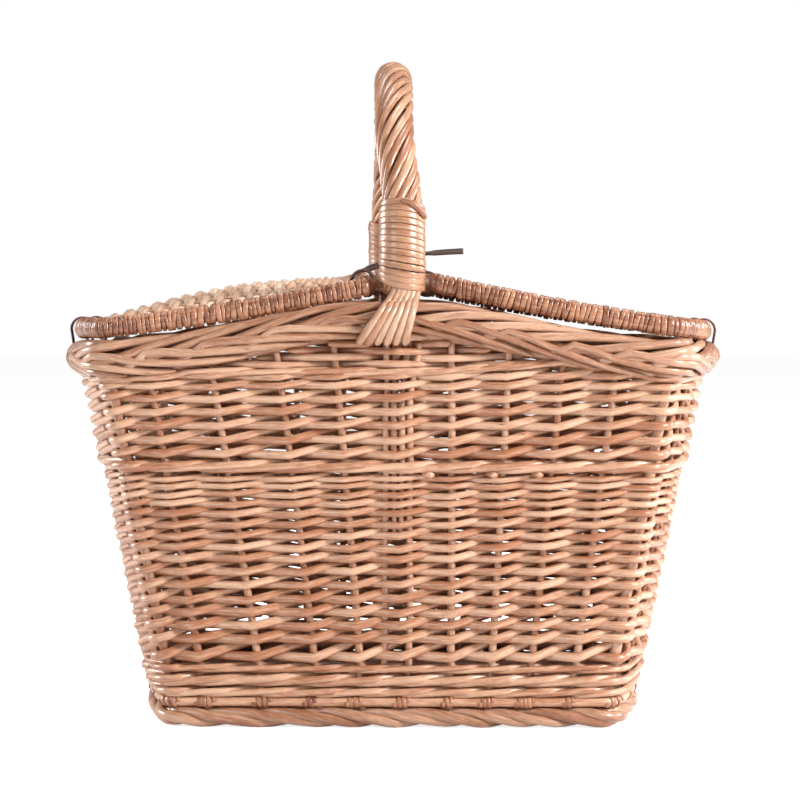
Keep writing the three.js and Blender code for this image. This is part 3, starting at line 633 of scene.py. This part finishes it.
def waling(z, thickness, swing, start, spread_out=1.6, course=([0], [0])):
    """Three-rod waling: each rod passes before two stakes and behind one, over its neighbours.

    Before the stakes a rod climbs from -swing to +swing and moves outwards, and behind the
    third it drops back again. The three rods follow each other one stake apart. `course` lifts
    the row by a height that depends on the place along X.
    """
    per_stake = 8
    steps = COUNT * per_stake + 9
    u = start + np.arange(steps)[None] / per_stake + np.zeros((3, 1))
    phase = np.mod(u - np.arange(3)[:, None] - 0.02 * u, 3)
    front = np.interp(phase, [0, 0.45, 1.0, 1.6, 2.0, 2.5, 3], [0, 0.95, 1, 1, 0.1, -1, 0])
    reach = STAKE + thickness / 2
    out = front * reach + np.where(front > 0, spread_out * np.clip(phase - 0.4, 0, 1.4) * front, 0)
    rise = np.interp(phase, [0, 0.4, 2.1, 2.5, 3], [-1, -0.9, 1, 0.6, -1])
    x = wall(at_stake(u, z), z, 0.0)[..., 0]
    height = z + rise * swing + drift(u, rng.normal(0, 0.3, (3, 14))) + np.interp(x, *course)
    out = out - leg_room(u, height, front)
    paths, facing = outward(wall, at_stake(u, height), height, out)
    size = thickness / 2 * drift(u, rng.uniform(0.92, 1.06, (3, 20)))
    return sweep(paths, facing, size * tips(3, steps, 1.0, 0.01, 0.01), ROUND)


make("bottom_wale", [waling(25.4, 4.9, 2.0, 26.2, 1.2), waling(33.9, 5.5, 2.6, 30.1),
                     waling(42.1, 4.1, 1.7, 28.0, 1.0)], body_willow)


def butts(places, z):
    """Slantwise cut butt ends of waling rods that stand out below the wale, as flat ovals."""
    share = np.linspace(0, 1, 5)[None]
    u = np.array(places)[:, None] + 0.1 * share
    z = z - 1.2 * share
    here, _ = outward(wall, at_stake(u, z), z, 3.0 + 6.0 * share)
    return sweep(here, UP, np.array([[3.0, 3.3, 3.4, 3.4, 3.1]]), FULL * [0.62, 1.0])


make("middle_wale", [waling(184.2, 5.6, 2.5, 27.0, 1.0), butts([4.52, 5.75, 6.65], 179.3)],
     body_willow)
top_course = ([-190, -150, -138, 35, 118, 150, 185], [-5, -3, 0, 0, 6.5, 4, -5])
make("top_wale", [waling(249.6, 4.2, 1.5, 25.0, 0.8, top_course)], body_willow)


def packing(side):
    """Level rows of plain weave that fill the raised middle of a long side.

    A row ends where the rim's underside comes down to it, and its ends are tucked in there.
    """
    direction = 1 if side == 0 else -1
    places = face_places + face_lean * 120
    parts = []
    for row, level in enumerate((254.2, 258.9, 263.6, 268.3, 272.8, 277.0)):
        share = np.clip(2 * (level + 1 - WALE_Z) / RIM_RISE - 1, -1, 1)
        half = max(RIM_REACH / PI * np.arccos(share) + 6, 42)
        x = np.linspace(-half, half, 96)
        centre = 0.5 + direction * x / (2 * (half_length(level) - CORNER))
        u = np.interp(centre, places, np.arange(9.0))
        wave = round_stakes(u + row, 0.6)
        z = level + 0.5 * np.sin(u * 2.1 + row) + 0 * x
        out = wave * (STAKE + 2.1) - leg_room(u, z, wave)
        paths, facing = outward(wall, (2 * side + centre)[None], z[None], out[None])
        parts.append(sweep(paths, facing, tips(1, 96, 2.65, 0.04, 0.04), ROUND))
    return parts


make("front_packing", packing(0), body_willow)
make("back_packing", packing(2), body_willow)


# Rolled and plaited borders

def around_oval(psi, rho, u, oval, lift_z):
    """A place by an oval carried along the wall: psi is 0 outside and 90 degrees on top.

    rho is 1 on the oval and less inside it. With lift_z the oval is lifted as the rim is, and
    its top grows by 3 and more, as far as the lids leave room for it.
    """
    centre_z, centre_out, wide, tall = oval
    angle = np.radians(psi)
    tau = at_stake(u, centre_z)
    place = wall(tau, centre_z, 0.0)
    lift = full = 0.0
    if lift_z:
        x = place[..., 0]
        lift = rim_lift(x)
        front = np.interp(x, [-220, -203, -150, -120, 130, 150, 200, 220],
                          [0, 2.9, 3.8, 3, 3, 3.3, 3.9, 0])
        back = np.interp(
            x, [-220, -205, -190, -165, -140, -110, 0, 75, 95, 130, 150, 175, 200, 220],
            [0, 2.8, 4.1, 6.6, 6.8, 5.6, 5, 4.2, 3, 3, 4.2, 4, 2.8, 0])
        full = np.where(np.sin(angle) > 0, np.where(place[..., 1] > 0, back, front), 0)
    z = centre_z + lift + rho * (tall + full) * np.sin(angle)
    here = wall(tau, z, centre_out + rho * wide * np.cos(angle))
    middle = wall(tau, centre_z + lift + 0 * z, centre_out)
    return here, here - middle


def strand_family(start, knots, radius, steps, oval, lift_z, taper, uneven=1.5):
    """Border strands, one to a stake.

    A knot is (share of a stake, psi, rho), and the strand runs straight from one knot to the
    next, so that a knot can be a sharp bend.
    """
    u_knots, psi_knots, rho_knots = np.array(knots, float).T
    even = np.linspace(u_knots[0], u_knots[-1], steps)
    share = np.unique(np.concatenate([even, u_knots]))[None]
    base = np.arange(COUNT)[:, None] + start + rng.normal(0, 0.07, (COUNT, 1))
    psi = np.interp(share, u_knots, psi_knots) + rng.normal(0, uneven, (COUNT, 1))
    rho = np.interp(share, u_knots, rho_knots) + rng.normal(0, 0.025, (COUNT, 1))
    here, facing = around_oval(psi, rho, base + share, oval, lift_z)
    size = radius * rng.uniform(0.88, 1.1, (COUNT, 1))
    return sweep(here, facing, tips(COUNT, share.shape[1], size, *taper), round_section(10))


def border_core(oval, radius, lift_z):
    """A closed rod round the basket, along the middle of the oval."""
    u = np.linspace(0, COUNT, 340, endpoint=False)[None]
    line, _ = around_oval(0.0, 0.0, u, oval, lift_z)
    return sweep(line, UP, radius, FULL, closed=True)


rim_oval = (RIM_Z + 0.3, RIM_OUT - 0.6, RIM_WIDE - 4.6, RIM_TALL - 2.5)
lower_strands = strand_family(
    0.0,
    [(-0.5, -40, 0.6), (-0.28, -12, 0.9), (0, 17, 1.08), (0.3, 13, 1.12), (1.1, -13, 1.04),
     (2.0, -48, 1.0), (2.6, -70, 1.12)],
    2.75, 34, rim_oval, True, (0.0, 0.16))
upper_strands = strand_family(
    0.3,
    [(-0.55, -8, 0.66), (-0.1, 8, 0.84), (0.3, 22, 0.98), (1.3, 66, 1.02), (2.5, 122, 1.0),
     (3.7, 176, 0.95), (4.8, 232, 0.85)],
    2.95, 46, rim_oval, True, (0.0, 0.1))
inner_turn = border_core((248.6, 0.0, 1, 1), 4.4, True)
rim_core = border_core(rim_oval, 6.0, True)
make("top_border", [lower_strands, upper_strands, rim_core, inner_turn], rim_willow)

foot_oval = (7.3, 1.2, 5.8, 3.6)
foot_strands = strand_family(
    0.15,
    [(-0.4, 118, 0.8), (0, 80, 1.0), (0.5, 40, 1.12), (1.15, -16, 1.04), (1.7, -52, 1.16),
     (2.3, -96, 0.9)],
    3.65, 30, foot_oval, False, (0.0, 0.2), 1.0)
foot_inner = strand_family(
    0.5, [(0, 60, 0.9), (0.7, 120, 0.9), (1.4, 170, 0.9), (2.1, 215, 0.9), (2.8, 260, 0.9)],
    3.4, 22, foot_oval, False, (0.1, 0.2), 1.0)
make("foot_border", [foot_strands, foot_inner, border_core((6.4, 0.0, 1, 1), 3.9, False),
                     border_core((11.6, -3.5, 1, 1), 3.6, False)], rim_willow)


# Base: plain weave over sticks

def base_weave():
    """Weavers along X pass over and under sticks along Y, one lying opposite to the next."""
    z = 19.3
    edge = wall(fine_tau, z, -3.5)[:, :2]
    front_x, front_y = edge[edge[:, 1] < 0].T
    order = np.argsort(front_x)
    sticks = np.linspace(-138, 138, 11)[:, None]
    y = np.linspace(-1, 1, 30) * -np.interp(sticks, front_x[order], front_y[order])
    across = np.stack([sticks + 0 * y, y, z + 0 * y], -1)
    stick_part = sweep(across, UP, 2.6, ROUND)
    right_x, right_y = edge[edge[:, 0] > 0].T
    order = np.argsort(right_y)
    rows = np.arange(-112, 113, 6.2)[:, None]
    x = np.linspace(-1, 1, 90) * np.interp(rows, right_y[order], right_x[order])
    gap = sticks[1] - sticks[0]
    over = np.cos(PI * (x - sticks[0]) / gap + PI * np.arange(len(rows))[:, None])
    along = np.stack([x, rows + 0 * x, z + 2.2 * over], -1)
    return [stick_part, sweep(along, UP, 2.3, ROUND)]


make("base_mat", base_weave(), base_willow)


# Handle

def handle_x(y):
    """The handle stands a few degrees off square."""
    return HANDLE_SHIFT - SLANT * y


def arch_x(y, z):
    """The arch is wrung a little straighter above the collars, and leans to the left."""
    share = np.clip((z - COLLAR_TOP) / 60, 0, 1)
    share = share * share * (3 - 2 * share)
    return HANDLE_SHIFT - SLANT * y * (1 - 0.5 * share) - 1.3 * share


def bow_depth(z):
    """How far the middle of the bow lies inside the stakes' front: it thins below the rim."""
    return np.interp(z, [BOW_TIP, 215, 264], [1.7, 2.6, 8.2])


def leg_y(z):
    """Distance of the bow's middle line from the basket's middle, in the legs."""
    return half_depth(z) + SIDE_BOW + STAKE - bow_depth(z)


def handle_line(foot, step=3.0):
    """Middle line of the bow: a leg, half an ellipse and a leg, from `foot` on both sides."""
    legs = np.arange(foot, SPRING, step)
    span = leg_y(SPRING)
    angle = np.linspace(0, PI, 120)
    y = np.concatenate([-leg_y(legs), -span * np.cos(angle), leg_y(legs)[::-1]])
    rise = HANDLE_TOP - HANDLE_RADIUS - SPRING
    z = np.concatenate([legs, SPRING + rise * np.sin(angle), legs[::-1]])
    return spaced(np.stack([arch_x(y, z), y, z], -1), step)


PLANE = unit(np.array([1.0, SLANT, 0.0]))


def aside(z):
    """The handle's sticks stand a little to the left below the rim."""
    return np.interp(z, [0, 225, 262], [2.6, 2.6, 0])


def across_handle(line):
    """The way across the handle that is square to PLANE and to the line, at each point."""
    return np.cross(unit(np.gradient(line, axis=0)), PLANE)


bow_line, _ = handle_line(BOW_TIP)
bow_heights = [BOW_TIP, 190, 235, 264, 300]
bow_thick = np.interp(bow_line[:, 2], bow_heights, [1.6, 2.2, 2.4, 4.0, 8.2])
bow_apart = np.interp(bow_line[:, 2], bow_heights, [2.2, 2.9, 3.1, 4.1, 0.3])
bow_pair = bow_line[None] + np.array([-1, 1])[:, None, None] * bow_apart[None, :, None] * PLANE
bow_pair[..., 0] -= aside(bow_pair[..., 2])
make("handle_bow", [sweep(bow_pair, PLANE, bow_thick, FULL)], body_willow)


def handle_rods():
    """Eleven rods laid round the bow in a right-handed helix, unevenly, with gaps between them.

    A turn takes 116 in the legs and 190 over the arch: the angle is the sum of 2 * pi / turn.
    """
    line, length = handle_line(COLLAR_FOOT - 1, 4.0)
    rods = 11
    sway = drift([length] * rods, rng.normal(0, 0.075, (rods, 16)))
    reach = 11.4 + drift([length] * rods, rng.normal(0, 0.25, (rods, 16)))
    rate = np.interp(line[:, 2], [360, 430], [2 * PI / 116, 2 * PI / 190])
    wound = np.cumsum(rate * np.gradient(length))
    angle = 2 * PI * np.arange(rods)[:, None] / rods + wound[None] + sway
    radial = np.cos(angle)[..., None] * PLANE + np.sin(angle)[..., None] * across_handle(line)
    size = rng.uniform(2.75, 3.0, (rods, 1))
    return [sweep(line + radial * reach[..., None], radial, size, round_section(10), flat=0.85)]


make("handle_wrap", handle_rods(), handle_willow)


def collar(end):
    """Flat skein wound up the handle's foot: a helix of 14 turns whose radius wanders a little.

    One rod's end lies over the upper turns, from the outer side round to the right.
    """
    turns = 14
    steps = turns * 26
    share = np.linspace(0, 1, steps)
    line, length = handle_line(COLLAR_FOOT)
    line = line[::-end]
    place = 2 + 55.5 * share
    centre = along_route(place, length, line)
    other = along_route(place, length, across_handle(line))
    angle = PI - 2 * PI * turns * share
    uneven = np.interp(share * turns, np.arange(turns + 1), rng.normal(0, 0.2, turns + 1))
    radial = np.cos(angle)[:, None] * PLANE + np.sin(angle)[:, None] * other
    path = centre + radial * (15.2 + uneven)[:, None]
    path[:, 2] += end * np.linspace(0.15, 0.05, steps) * (path[:, 0] - centre[:, 0])
    tone = np.interp(share * turns, np.arange(turns + 1), rng.uniform(0.2, 1, turns + 1))
    section = strap_section(4.15, 1.7, 16)
    z = np.array([366.0, 364.6, 361.6, 357.6, 353.5])
    foot = line[:28]
    tuck = along_route(z, foot[:, 2], foot)
    tuck[:, 0] -= end * np.array([1.0, 6.0, 10.5, 14.0, 16.2])
    tuck[:, 1] += end * np.array([15.9, 16.6, 14.4, 10.6, 6.0])
    tuck[:, 2] = z
    tuck = smooth(tuck, 16)[None]
    size = tips(1, steps, 1.0, 0.01, 0.01)
    return [sweep(path[None], radial[None], size, section, tone=tone[None]),
            sweep(tuck, [0, end, 0], tips(1, 16, 2.1, 0.0, 0.2), FULL)]


def wrap_tails(end):
    """The wrapping rods below the collar: six lie side by side over the rim and tuck under it.

    They leave the collar round its front, and spread and shift to one side evenly on the way down.
    """
    rods = 6
    share = np.linspace(-0.5, 0.5, rods)
    leg = leg_y(COLLAR_FOOT + 4)
    middle_x = handle_x(end * HANDLE_FOOT_Y)
    centre_z = RIM_Z + rim_lift(middle_x)
    across = 3.2 + share * 15
    y = end * (leg + np.sqrt(148 - across**2))
    points = [np.stack([middle_x - end * across, y, 0 * y + z], -1) for z in (314.0, 306.5)]
    for psi in (72, 48, 22, -5, -32, -58, -76):
        angle = np.radians(psi)
        z = centre_z + (RIM_TALL + 3.1) * np.sin(angle)
        out = RIM_OUT + (RIM_WIDE + 3.1) * np.cos(angle)
        down = (COLLAR_FOOT - z) / (COLLAR_FOOT - 269)
        x = middle_x - end * (3.4 - 17 * min(down, 1.25) + share * (15 + 16.5 * min(down, 1.1)))
        y = end * (half_depth(z) + SIDE_BOW + out)
        points.append(np.stack([x, 0 * x + y, 0 * x + z], -1))
    paths = smooth(np.stack(points, 1), 48)
    centre = np.array([middle_x, end * (half_depth(centre_z) + SIDE_BOW + RIM_OUT), centre_z])
    size = tips(rods, 48, rng.uniform(0.96, 1.04, (rods, 1)), 0.0, 0.14)
    size = size * np.linspace(2.45, 2.95, 48)
    return [sweep(paths, paths - centre, size, round_section(10))]


for face, end in (("front", -1), ("back", 1)):
    make(face + "_handle_collar", collar(end), collar_willow)
    make(face + "_wrap_tails", wrap_tails(end), tail_willow)
    for hand, way in (("left", -1), ("right", 1)):
        z = np.linspace(22.6, 268.9, 60)
        y = end * (half_depth(z) + SIDE_BOW)
        apart = np.interp(z, [22, 235, 262], [8.6, 8.2, 11.2]) + 0.4 * np.sin(z / 14 + way)
        line = np.stack([handle_x(y) + way * apart - aside(z), y, z], -1)[None]
        liner = sweep(line, [0, end, 0], np.linspace(2.6, 2.4, 60), ROUND)
        make(face + "_handle_liner_" + hand, [liner], body_willow)


# Lids

LIDS = {
    "left": dict(hand=-1, slope=0.146, sag=4.2, twist=10, camber=15, hinge_z=277.547,
                 strap_x=22.754, strap_z=311.607),
    "right": dict(hand=1, slope=0.175, sag=3.2, twist=-3, camber=2, hinge_z=276.302,
                  strap_x=24.654, strap_z=310.085),
}


def inner_edge(lid, y):
    """Distance of a lid's inner edge from the middle: it keeps clear of the handle's collar."""
    return lid["hand"] * handle_x(y) + COLLAR_ROOM


def lid_foot(lid, x, y):
    """Height of a lid's underside: a slope, a sag along it, a twist and a crown across it."""
    length = LID_END - inner_edge(lid, 0)
    share = np.clip((LID_END - x) / length, 0, 1)
    across = y / LID_HALF_DEPTH
    crown = np.sin(PI * share) * np.maximum(0, 1 - across**2)
    return (LID_END_Z + lid["slope"] * (LID_END - x) - lid["sag"] * 4 * share * (1 - share)
            + lid["twist"] * share * (0.5 + across / 2) + lid["camber"] * crown)


def lid_outline(lid, inset, count):
    """A lid's outline `inset` inside its edge, evenly spaced, its inner corners rounded off.

    It follows the rim's plan from the inner edge round the hinge end and back, and then runs
    straight along the inner edge. A short running mean rounds the corners.
    """
    out = LID_OVERHANG - inset
    reach = 2 * (half_length(LID_PLAN) - CORNER)
    first = 0.5 + (inner_edge(lid, -LID_HALF_DEPTH) + inset) / reach
    last = 0.5 - (inner_edge(lid, LID_HALF_DEPTH) + inset) / reach
    curve = ring(wall(np.linspace(first, 4 + last, 500), float(LID_PLAN), out)[:, :2])
    length = lengths(curve)
    fine = 1200
    loop = along_route(np.linspace(0, length[-1], fine, endpoint=False), length, curve)
    half_window = 3
    loop = sum(np.roll(loop, k, 0) for k in range(-half_window, half_window + 1))
    loop = loop / (2 * half_window + 1)
    pick = np.linspace(0, fine, count, endpoint=False)
    return along_route(pick, np.arange(fine + 1), ring(loop))


def lid_place(lid, x, y, up):
    """A point of the lid in the basket's own axes."""
    return np.stack([lid["hand"] * x, y, lid_foot(lid, x, y) + up], -1)


def binding(lid):
    """Skein wound round the edge stick: a tube whose strips are low bumps with grooves between.

    The strips are 2.4 to 4.8 wide. Each slants a little, by a slide along the edge that grows
    with the height on the section. A tone of 0 in the grooves paints shade between the strips.
    """
    edge = ring(lid_outline(lid, BAND_WIDE / 2, 1200))
    length = lengths(edge)
    total = length[-1]
    strips = int(total / 3.5)
    widths = rng.uniform(2.4, 4.8, strips)
    edges = np.concatenate([[0], np.cumsum(widths)]) * total / widths.sum()
    profile = np.array([0.0, 0.05, 0.11, 0.3, 0.72, 0.93])
    bump = np.array([-1.3, -1.3, 0.05, 0.25, 0.27, 0.1]) * np.ones((strips, 1))
    bump[:, 2:] += rng.normal(0, 0.16, (strips, 1))
    bump[:, :2] *= rng.uniform(0.6, 1.4, (strips, 1))
    station = (edges[:-1, None] + np.diff(edges)[:, None] * profile).ravel()
    shear = rng.normal(0, 0.75, (strips, 1)) + np.zeros((1, 6))
    shear[:, :2] = (shear[:, :2] + np.roll(shear[:, :2], 1, 0)) / 2
    # The groove points get tone 0, the deepest colour: painted shade between the strips. The strips
    # keep a random tone of their own.
    tone = rng.uniform(0, 1, (strips, 1)) * np.array([[0, 0, 1, 1, 1, 1]])
    x, y = along_route(station, length, edge).T
    order = slice(None, None, lid["hand"])
    path = lid_place(lid, x, y, BAND_TALL / 2)[None, order]
    bump, shear, tone = (values.ravel()[None, order] for values in (bump, shear, tone))
    return sweep(path, UP, 5.2 + bump, round_section(16), closed=True, flat=1.3, shear=shear,
                 tone=tone)


def lid_mat(lid):
    """Plain weave: weavers run from front to back, over and under sticks that run along the lid.

    The height of a weaver is the lid's surface plus a cosine that changes sign from one weaver
    to the next and from one stick to the next.
    """
    edge = lid_outline(lid, 8.0, 900)
    upper = edge[edge[:, 1] > 0]
    lower = edge[edge[:, 1] < 0]
    sticks = np.linspace(-130, 130, 8)
    gap = sticks[1] - sticks[0]

    def limit(half, x):
        """How far from the middle the mat reaches at x, on one half of its edge."""
        bins = np.linspace(half[:, 0].min(), half[:, 0].max(), 140)
        far = np.array([np.abs(half[np.abs(half[:, 0] - b) < 2.2, 1]).max() for b in bins])
        return np.interp(x, bins, far)

    start = inner_edge(lid, 0) + 11.5
    x = np.arange(start, LID_END - 10, 5.35)
    x = x + rng.normal(0, 0.25, len(x))
    back = limit(upper, x)
    front = limit(lower, x)
    steps = 74
    share = np.linspace(0, 1, steps)[None]
    y = -front[:, None] + (back + front)[:, None] * share
    lean = lid["hand"] * -SLANT * y * np.clip((start + 40 - x[:, None]) / 40, 0, 1)
    column = x[:, None] + lean + 0.5 * np.sin(y / 31 + x[:, None])
    wave = np.cos(PI * (y - sticks[0]) / gap + PI * np.arange(len(x))[:, None])
    up = BAND_TALL / 2 + 2.1 * wave
    size = rng.uniform(2.1, 2.5, (len(x), 1)) + np.zeros((1, steps))
    weavers = sweep(lid_place(lid, column, y, up), UP, size, ROUND)
    far = edge[edge[:, 0] > 120]
    ends = np.array([far[np.abs(far[:, 1] - s) < 3, 0].max() for s in sticks])
    share = np.linspace(0, 1, 60)[None]
    begin = inner_edge(lid, sticks) + 8
    x = begin[:, None] + (ends - begin)[:, None] * share
    y = sticks[:, None] + 0.6 * np.sin(x / 27)
    rods = sweep(lid_place(lid, x, y, BAND_TALL / 2), UP, 1.9, ROUND)
    return [weavers, rods]


for side, lid in LIDS.items():
    body = side + "_lid"
    make(side + "_lid_binding", [binding(lid)], skein_willow, body)
    make(side + "_lid_mat", lid_mat(lid), mat_willow, body)
    core = lid_outline(lid, BAND_WIDE / 2, 240)[::lid["hand"]]
    line = lid_place(lid, core[:, 0], core[:, 1], BAND_TALL / 2)[None]
    make(side + "_lid_hoop", [sweep(line, UP, 3.3, FULL, closed=True)], body_willow, body)


# Leather and buckle

def circle(x, z, radius, first, last, count):
    """Points of an arc in X and Z, from one angle in degrees to another."""
    angle = np.radians(np.linspace(first, last, count))
    return np.stack([x + radius * np.cos(angle), z + radius * np.sin(angle)], -1)


def in_plane(route, y=0.0):
    """A route of X and Z points as one path at depth y."""
    route = np.asarray(route, float)
    return np.stack([route[:, 0], np.full(len(route), y), route[:, 1]], -1)[None]


def leather_strip(route, width, y=0.0, closed=False, thickness=LEATHER, roll=0.0):
    """Strap leather of rounded section along a route of X and Z points, rolled a little over."""
    path = in_plane(route, y)
    if closed:
        step = np.roll(path, -1, 1) - np.roll(path, 1, 1)
    else:
        step = np.gradient(path, axis=1)
    facing = unit(np.cross([0.0, 1.0, 0.0], step))
    facing[..., 1] += roll
    return sweep(path, facing, 1.0, strap_section(width, thickness), closed=closed)


def hinge_loop(x, z, y):
    """A loop close over the lid's end band, with both its legs down through the rim."""
    legs = [[x - 4.5, 252.5], [x + 4.5, 252.5]]
    route = ring(np.concatenate([circle(x, z, RING + 0.85, 0, 180, 22), legs]))
    route, _ = spaced(route, 1.6)
    return [leather_strip(route[:-1], 8.4, y, closed=True, thickness=1.3)]


for side, lid in LIDS.items():
    for face, end in (("front", -1), ("back", 1)):
        loop = hinge_loop(lid["hand"] * HINGE_X, lid["hinge_z"], end * 38)
        make(side + "_" + face + "_hinge_loop", loop, hinge_leather)


def band_ring(x, z, width):
    """The strap's ring round the lid's inner band."""
    route = circle(x, z, RING + 1.2, 0, 360, 41)[:-1]
    return leather_strip(route, width, closed=True, thickness=2.2)


def buckle_strap():
    """The left lid's strap: it rises to the buckle, folds round its bar and is slit there."""
    x = -LIDS["left"]["strap_x"]
    z = LIDS["left"]["strap_z"]
    fold = 1.7 + LEATHER / 2
    top = z + RING + 1.2
    climb = BUCKLE_Z + fold - top
    rise = [[x, top], [x + 8, top + 0.36 * climb], [x + 15, top + 0.74 * climb]]
    bend = circle(0, BUCKLE_Z, fold, 92, -76, 7)
    route = np.concatenate([rise, bend, [[-6, BUCKLE_Z - fold - 0.4]]])
    line, _ = spaced(smooth(route, 60), 0.9)
    split = len(line) * 6 // 10
    roll = np.interp(line[:split, 0], [x, x + 4, -12, -5], [0.0, 0.17, 0.17, 0.0])
    cheek = (BUCKLE_STRAP_WIDE - SLIT) / 2
    return [
        band_ring(x, z, BUCKLE_STRAP_WIDE),
        leather_strip(line[:split], BUCKLE_STRAP_WIDE, thickness=SHOWN_LEATHER, roll=roll),
        *[leather_strip(line[split - 1:], cheek, way * (cheek + SLIT) / 2) for way in (-1, 1)],
    ]


def tongue_strap():
    """The right lid's strap: it rises, folds over and runs out to a free end above the lid."""
    x = LIDS["right"]["strap_x"]
    z = LIDS["right"]["strap_z"]
    rise = [[x, z + RING + 1.2], [x - 5.5, z + RING + 2.6]]
    fold = circle(13.9, z + 18.8, 3.4, 215, 112, 5)
    end = [[x, z + 22.6], [38, z + 23.6], [51.5, z + 24.3]]
    line, _ = spaced(smooth(np.concatenate([rise, fold, end]), 80), 0.9)
    roll = np.interp(line[:, 0], [x, x + 6, 50], [0.0, 0.13, 0.16])
    strip = leather_strip(line, TONGUE_STRAP_WIDE, thickness=SHOWN_LEATHER, roll=roll)
    return [band_ring(x, z, TONGUE_STRAP_WIDE), strip]


make("buckle_strap", buckle_strap(), leather, "buckle_strap")
make("tongue_strap", tongue_strap(), leather, "tongue_strap")


def buckle_wire():
    """A rectangle of wire with round corners, in the plane X = 0."""
    angle = np.linspace(0, 2 * PI, 72, endpoint=False)
    y = squared(np.cos(angle), 0.35) * 10.2
    z = BUCKLE_Z - 5.5 + squared(np.sin(angle), 0.35) * 5.5
    path = np.stack([0 * y, y, z], -1)[None]
    return [sweep(path, [1.0, 0.0, 0.0], 1.2, FULL, closed=True)]


def buckle_prong():
    """A wire eye round the bar, and the prong that leaves it and lies on the frame's low side."""
    eye = in_plane(circle(0, BUCKLE_Z, 2.2, 0, 360, 25)[:-1])
    knots = [[2.1, BUCKLE_Z - 1], [2.7, BUCKLE_Z - 4], [2.75, BUCKLE_Z - 9], [2.7, BUCKLE_Z - 13]]
    route = smooth(knots, 20)
    taper = tips(1, 20, 1.0, 0.0, 0.3)
    return [sweep(eye, [0.0, 1.0, 0.0], 0.68, FULL, closed=True),
            sweep(in_plane(route), [0.0, 1.0, 0.0], taper, FULL)]


make("buckle_frame", buckle_wire(), steel, "buckle_frame")
make("buckle_prong", buckle_prong(), steel, "buckle_prong")


# Floor, backdrop and light

WHITE = (1, 1, 1, 1)


def floor():
    """A wide pale floor that keeps the basket's shadow and is white to the camera."""
    size = 12.0
    mesh = bpy.data.meshes.new("floor")
    mesh.from_pydata([(size * x, size * y, 0) for x, y in zip(SIGN_X, SIGN_Y)], [], [(0, 1, 2, 3)])
    ground = place_object("floor", mesh)
    material, tree, shader = new_material("pale_floor")
    seen = add(tree, "LightPath").outputs["Is Camera Ray"]
    fill(shader, {
        "Base Color": (0.86, 0.86, 0.86, 1), "Roughness": 0.9, "Specular IOR Level": 0.0,
        "Emission Color": WHITE, "Emission Strength": math(tree, "MULTIPLY", seen, 0.8),
    })
    mesh.materials.append(material)


floor()


def soft_light(name, place, size, power):
    """A square area light that shines on the middle of the basket."""
    data = bpy.data.lights.new(name, "AREA")
    data.shape = "SQUARE"
    data.size = size
    data.energy = power
    place_object(name, data, place, (0, 0, 0.2))


soft_light("key", (2.0, -1.2, 1.15), 0.6, 92)
soft_light("fill", (-1.7, -2.0, 0.9), 1.0, 21)
soft_light("left_edge", (-2.3, 0.7, 0.8), 0.9, 54)
soft_light("right_edge", (2.3, 0.8, 0.8), 0.9, 34)
soft_light("top", (0.2, 0.4, 2.6), 1.2, 30)

world = bpy.data.worlds.new("white_room")
bpy.context.scene.world = world
world.use_nodes = True
tree = world.node_tree
tree.nodes.clear()
ambient = add(tree, "Background", {"Color": WHITE, "Strength": 0.2}).outputs[0]
seen = add(tree, "Background", {"Color": WHITE, "Strength": 1.0}).outputs[0]
rays = add(tree, "LightPath").outputs
share = math(tree, "MAXIMUM", rays["Is Camera Ray"], rays["Is Transmission Ray"])
mixed = add(tree, "MixShader", {0: share, 1: ambient, 2: seen}).outputs[0]
add(tree, "OutputWorld", {"Surface": mixed})

bpy.context.scene.view_settings.view_transform = "Standard"
